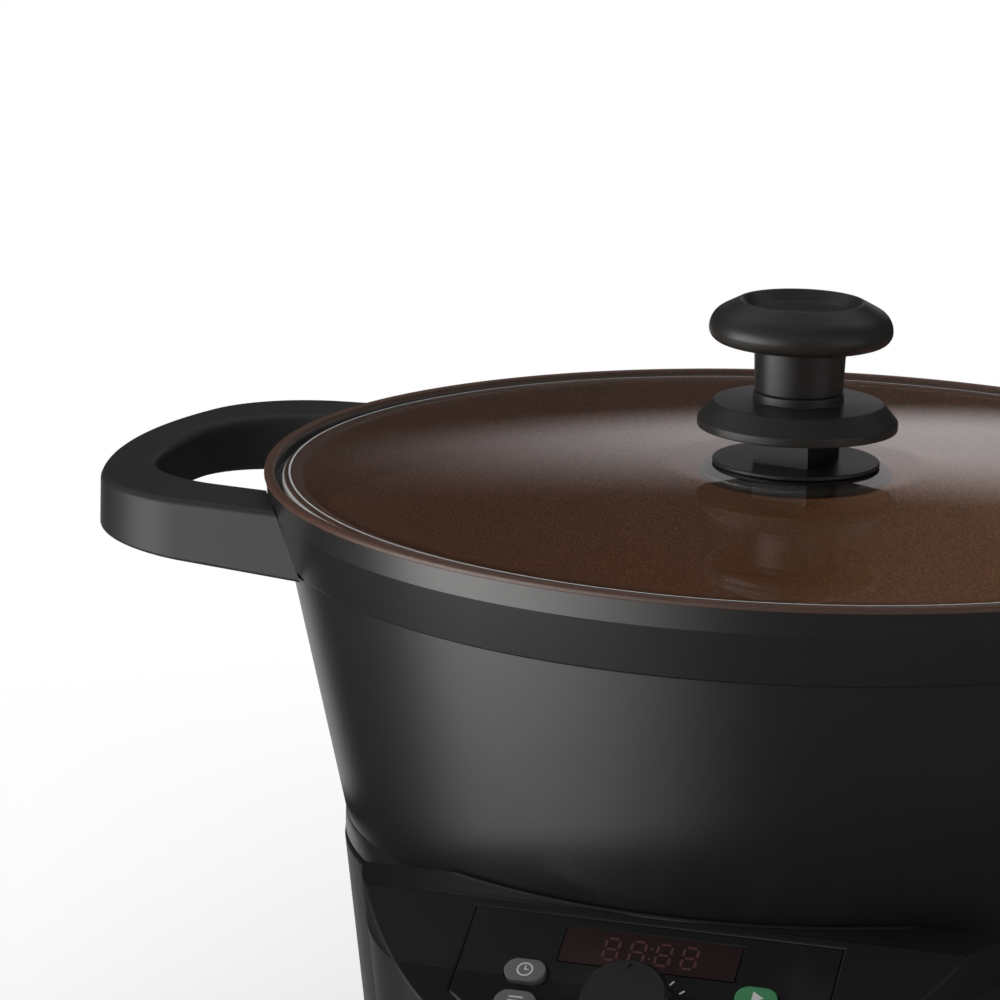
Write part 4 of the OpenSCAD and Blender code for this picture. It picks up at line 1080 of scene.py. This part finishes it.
dressed("knob_grip", "lid", turned(GRIP_OUTLINE, GRIP_STEPS))
bm = softened("knob_flange", KNOB_EDGE, on_flange)
foot = bmesh.ops.create_cone(
    bm, cap_ends=True, segments=FOOT_STEPS, radius1=FOOT_R, radius2=FOOT_R, depth=FOOT_T,
    matrix=Matrix.Translation((0, 0, FOOT_Z + FOOT_T / 2)))["verts"]
foot_rim = {edge for vert in foot for edge in vert.link_edges if crisp(edge)}
round_edges(bm, list(foot_rim), KNOB_EDGE)
dressed("knob_flange", "lid", bm)

# %% [markdown]
# The handles
#
# Heat-proof mouldings: a loop whose plan is two nested outlines of arms, corner arcs and one long arc at the
# end. The arms widen a little towards the pot. A box with a hole cut by a Boolean would need much cleaning
# up. Bridging the two outlines gives the top face, an extrusion gives the depth, and bevels round the
# edges. Hands feel the edge round the finger opening, so it is rounder than the outer one.

# %% Plan of a handle
HANDLE_REACH, HANDLE_HALF, CORNER_R, END_R = 0.1917, 0.0695, 0.038, 0.14
BAR_W, ARM_W, OPENING_R = 0.013, 0.024, 0.032
HANDLE_TOP, TIP_T = 0.194, 0.0145
UNDER_SLOPE = math.tan(math.radians(3.6))
ARM_FLARE = math.radians(7)
COLLAR_SLOPE, COLLAR_FLARE, HANDLE_GAP = 1 / 3, 1 / 7, 0.0005
CORNER_STEPS, END_STEPS = 14, 12


def under(x):
    """Height of the handle's underside, which falls towards the pot."""
    return HANDLE_TOP - TIP_T - (HANDLE_REACH - abs(x)) * UNDER_SLOPE


def at_pot(y, z):
    """How far out the pot's collar lies at a height, with the seam's gap."""
    radius = COLLAR_R + (z - COLLAR_Z) * (COLLAR_FLARE if z > COLLAR_Z else COLLAR_SLOPE)
    if z < SHOULDER_Z:
        radius = wall_r(z)
    return math.sqrt((radius + HANDLE_GAP) ** 2 - y ** 2)


def loop_plan(far, half, corner, end_r):
    """One outline of the loop: arm, corner, long arc, corner, arm, from -Y to +Y."""
    end_x = far - end_r
    corner_x = end_x + math.sqrt((end_r - corner) ** 2 - (half - corner) ** 2)
    meet = math.atan2(half - corner, corner_x - end_x)
    bend = arc(Vector((corner_x, corner - half)), corner, ARM_FLARE - math.pi / 2, -meet, CORNER_STEPS)
    root = (bend[0].x - at_pot(half, HANDLE_TOP)) * math.tan(ARM_FLARE) - bend[0].y
    points = [Vector((at_pot(root, HANDLE_TOP), -root))] + bend
    points += arc(Vector((end_x, 0)), end_r, -meet, 0, END_STEPS)[1:]
    return points + [Vector((p.x, -p.y)) for p in reversed(points[:-1])]


outer_plan = loop_plan(HANDLE_REACH, HANDLE_HALF, CORNER_R, END_R)
inner_plan = loop_plan(HANDLE_REACH - BAR_W, HANDLE_HALF - ARM_W, OPENING_R, END_R - BAR_W)
print("handle's plan has", len(outer_plan), "and", len(inner_plan), "points")

# %% Handles
EDGE_OPENING, EDGE_TOP, EDGE_UNDER, EDGE_SEGMENTS = 0.003, 0.0018, 0.0011, 6


def chain(bm, plan, side):
    """A row of edges along a plan at the handle's top."""
    verts = [bm.verts.new((side * p.x, p.y, HANDLE_TOP)) for p in plan]
    return [bm.edges.new(pair) for pair in zip(verts, verts[1:])]


def below_chain(lower, row):
    """The edges of the lower face that lie straight under a row of top edges."""
    ends = {vert.co.to_tuple(6) for edge in row for vert in edge.verts}
    return [edge for edge in lower if all(vert.co.to_tuple(6) in ends for vert in edge.verts)]


def handle(side):
    bm = bmesh.new()
    outer, inner = chain(bm, outer_plan, side), chain(bm, inner_plan, side)
    top = bmesh.ops.bridge_loops(bm, edges=outer + inner)["faces"]
    made = bmesh.ops.extrude_face_region(bm, geom=top, use_keep_orig=True)["geom"]
    lower = [item for item in made if isinstance(item, bmesh.types.BMEdge)]
    outside, opening = below_chain(lower, outer), below_chain(lower, inner)
    for vert in [item for item in made if isinstance(item, bmesh.types.BMVert)]:
        at_end = abs(vert.co.x) < COLLAR_R
        vert.co.z = under(vert.co.x)
        if at_end:
            vert.co.x = side * at_pot(vert.co.y, vert.co.z)
    bmesh.ops.recalc_face_normals(bm, faces=bm.faces)
    for edges, width in ((inner + opening, EDGE_OPENING), (outer, EDGE_TOP), (outside, EDGE_UNDER)):
        round_edges(bm, edges, width, EDGE_SEGMENTS)
    return bm


for node, side in (("left_handle", -1), ("right_handle", 1)):
    dressed(node, "pot", handle(side))

# %% [markdown]
# The base
#
# The tub, the cowl and the control panel are mouldings whose form is in the frame already. Moulds leave no
# knife edges, so the rim, the ridge and the borders of the face and the keys get a small radius. Only these
# edges are picked, by where they lie, and everything inside the base stays as it is.

# %% Base, panel and keys
RIM_EDGE_R, RIM_EDGE_Z = 0.1194, 0.09
FACE_SLACK, KEY_PROUD = 2e-5, 0.0014
SOFT_RIM, SOFT_COWL, SOFT_PANEL, SOFT_KEY = 0.0006, 0.0007, 0.0003, 0.0005


def off_face(point):
    """How far a point stands out from the control face."""
    return FACE_OUT.dot(point - FACE_TOP)


def on_rim(edge):
    return each_end(edge, lambda point: reach(point) > RIM_EDGE_R and point.z > RIM_EDGE_Z)


def in_face(edge):
    return each_end(edge, lambda point: abs(off_face(point)) < FACE_SLACK)


def on_key(edge):
    return each_end(edge, lambda point: off_face(point) > KEY_PROUD)


dressed("base_housing", "base", softened("base_housing", SOFT_RIM, on_rim))
cowl = dressed("front_cowl", "base", softened("front_cowl", SOFT_COWL, in_face))
cowl.visible_glossy = False
dressed("control_panel", "base", softened("control_panel", SOFT_PANEL, in_face))
for key in ("start", "stop", "timer", "menu"):
    dressed(key + "_button", key + "_key", softened(key + "_button", SOFT_KEY, on_key))
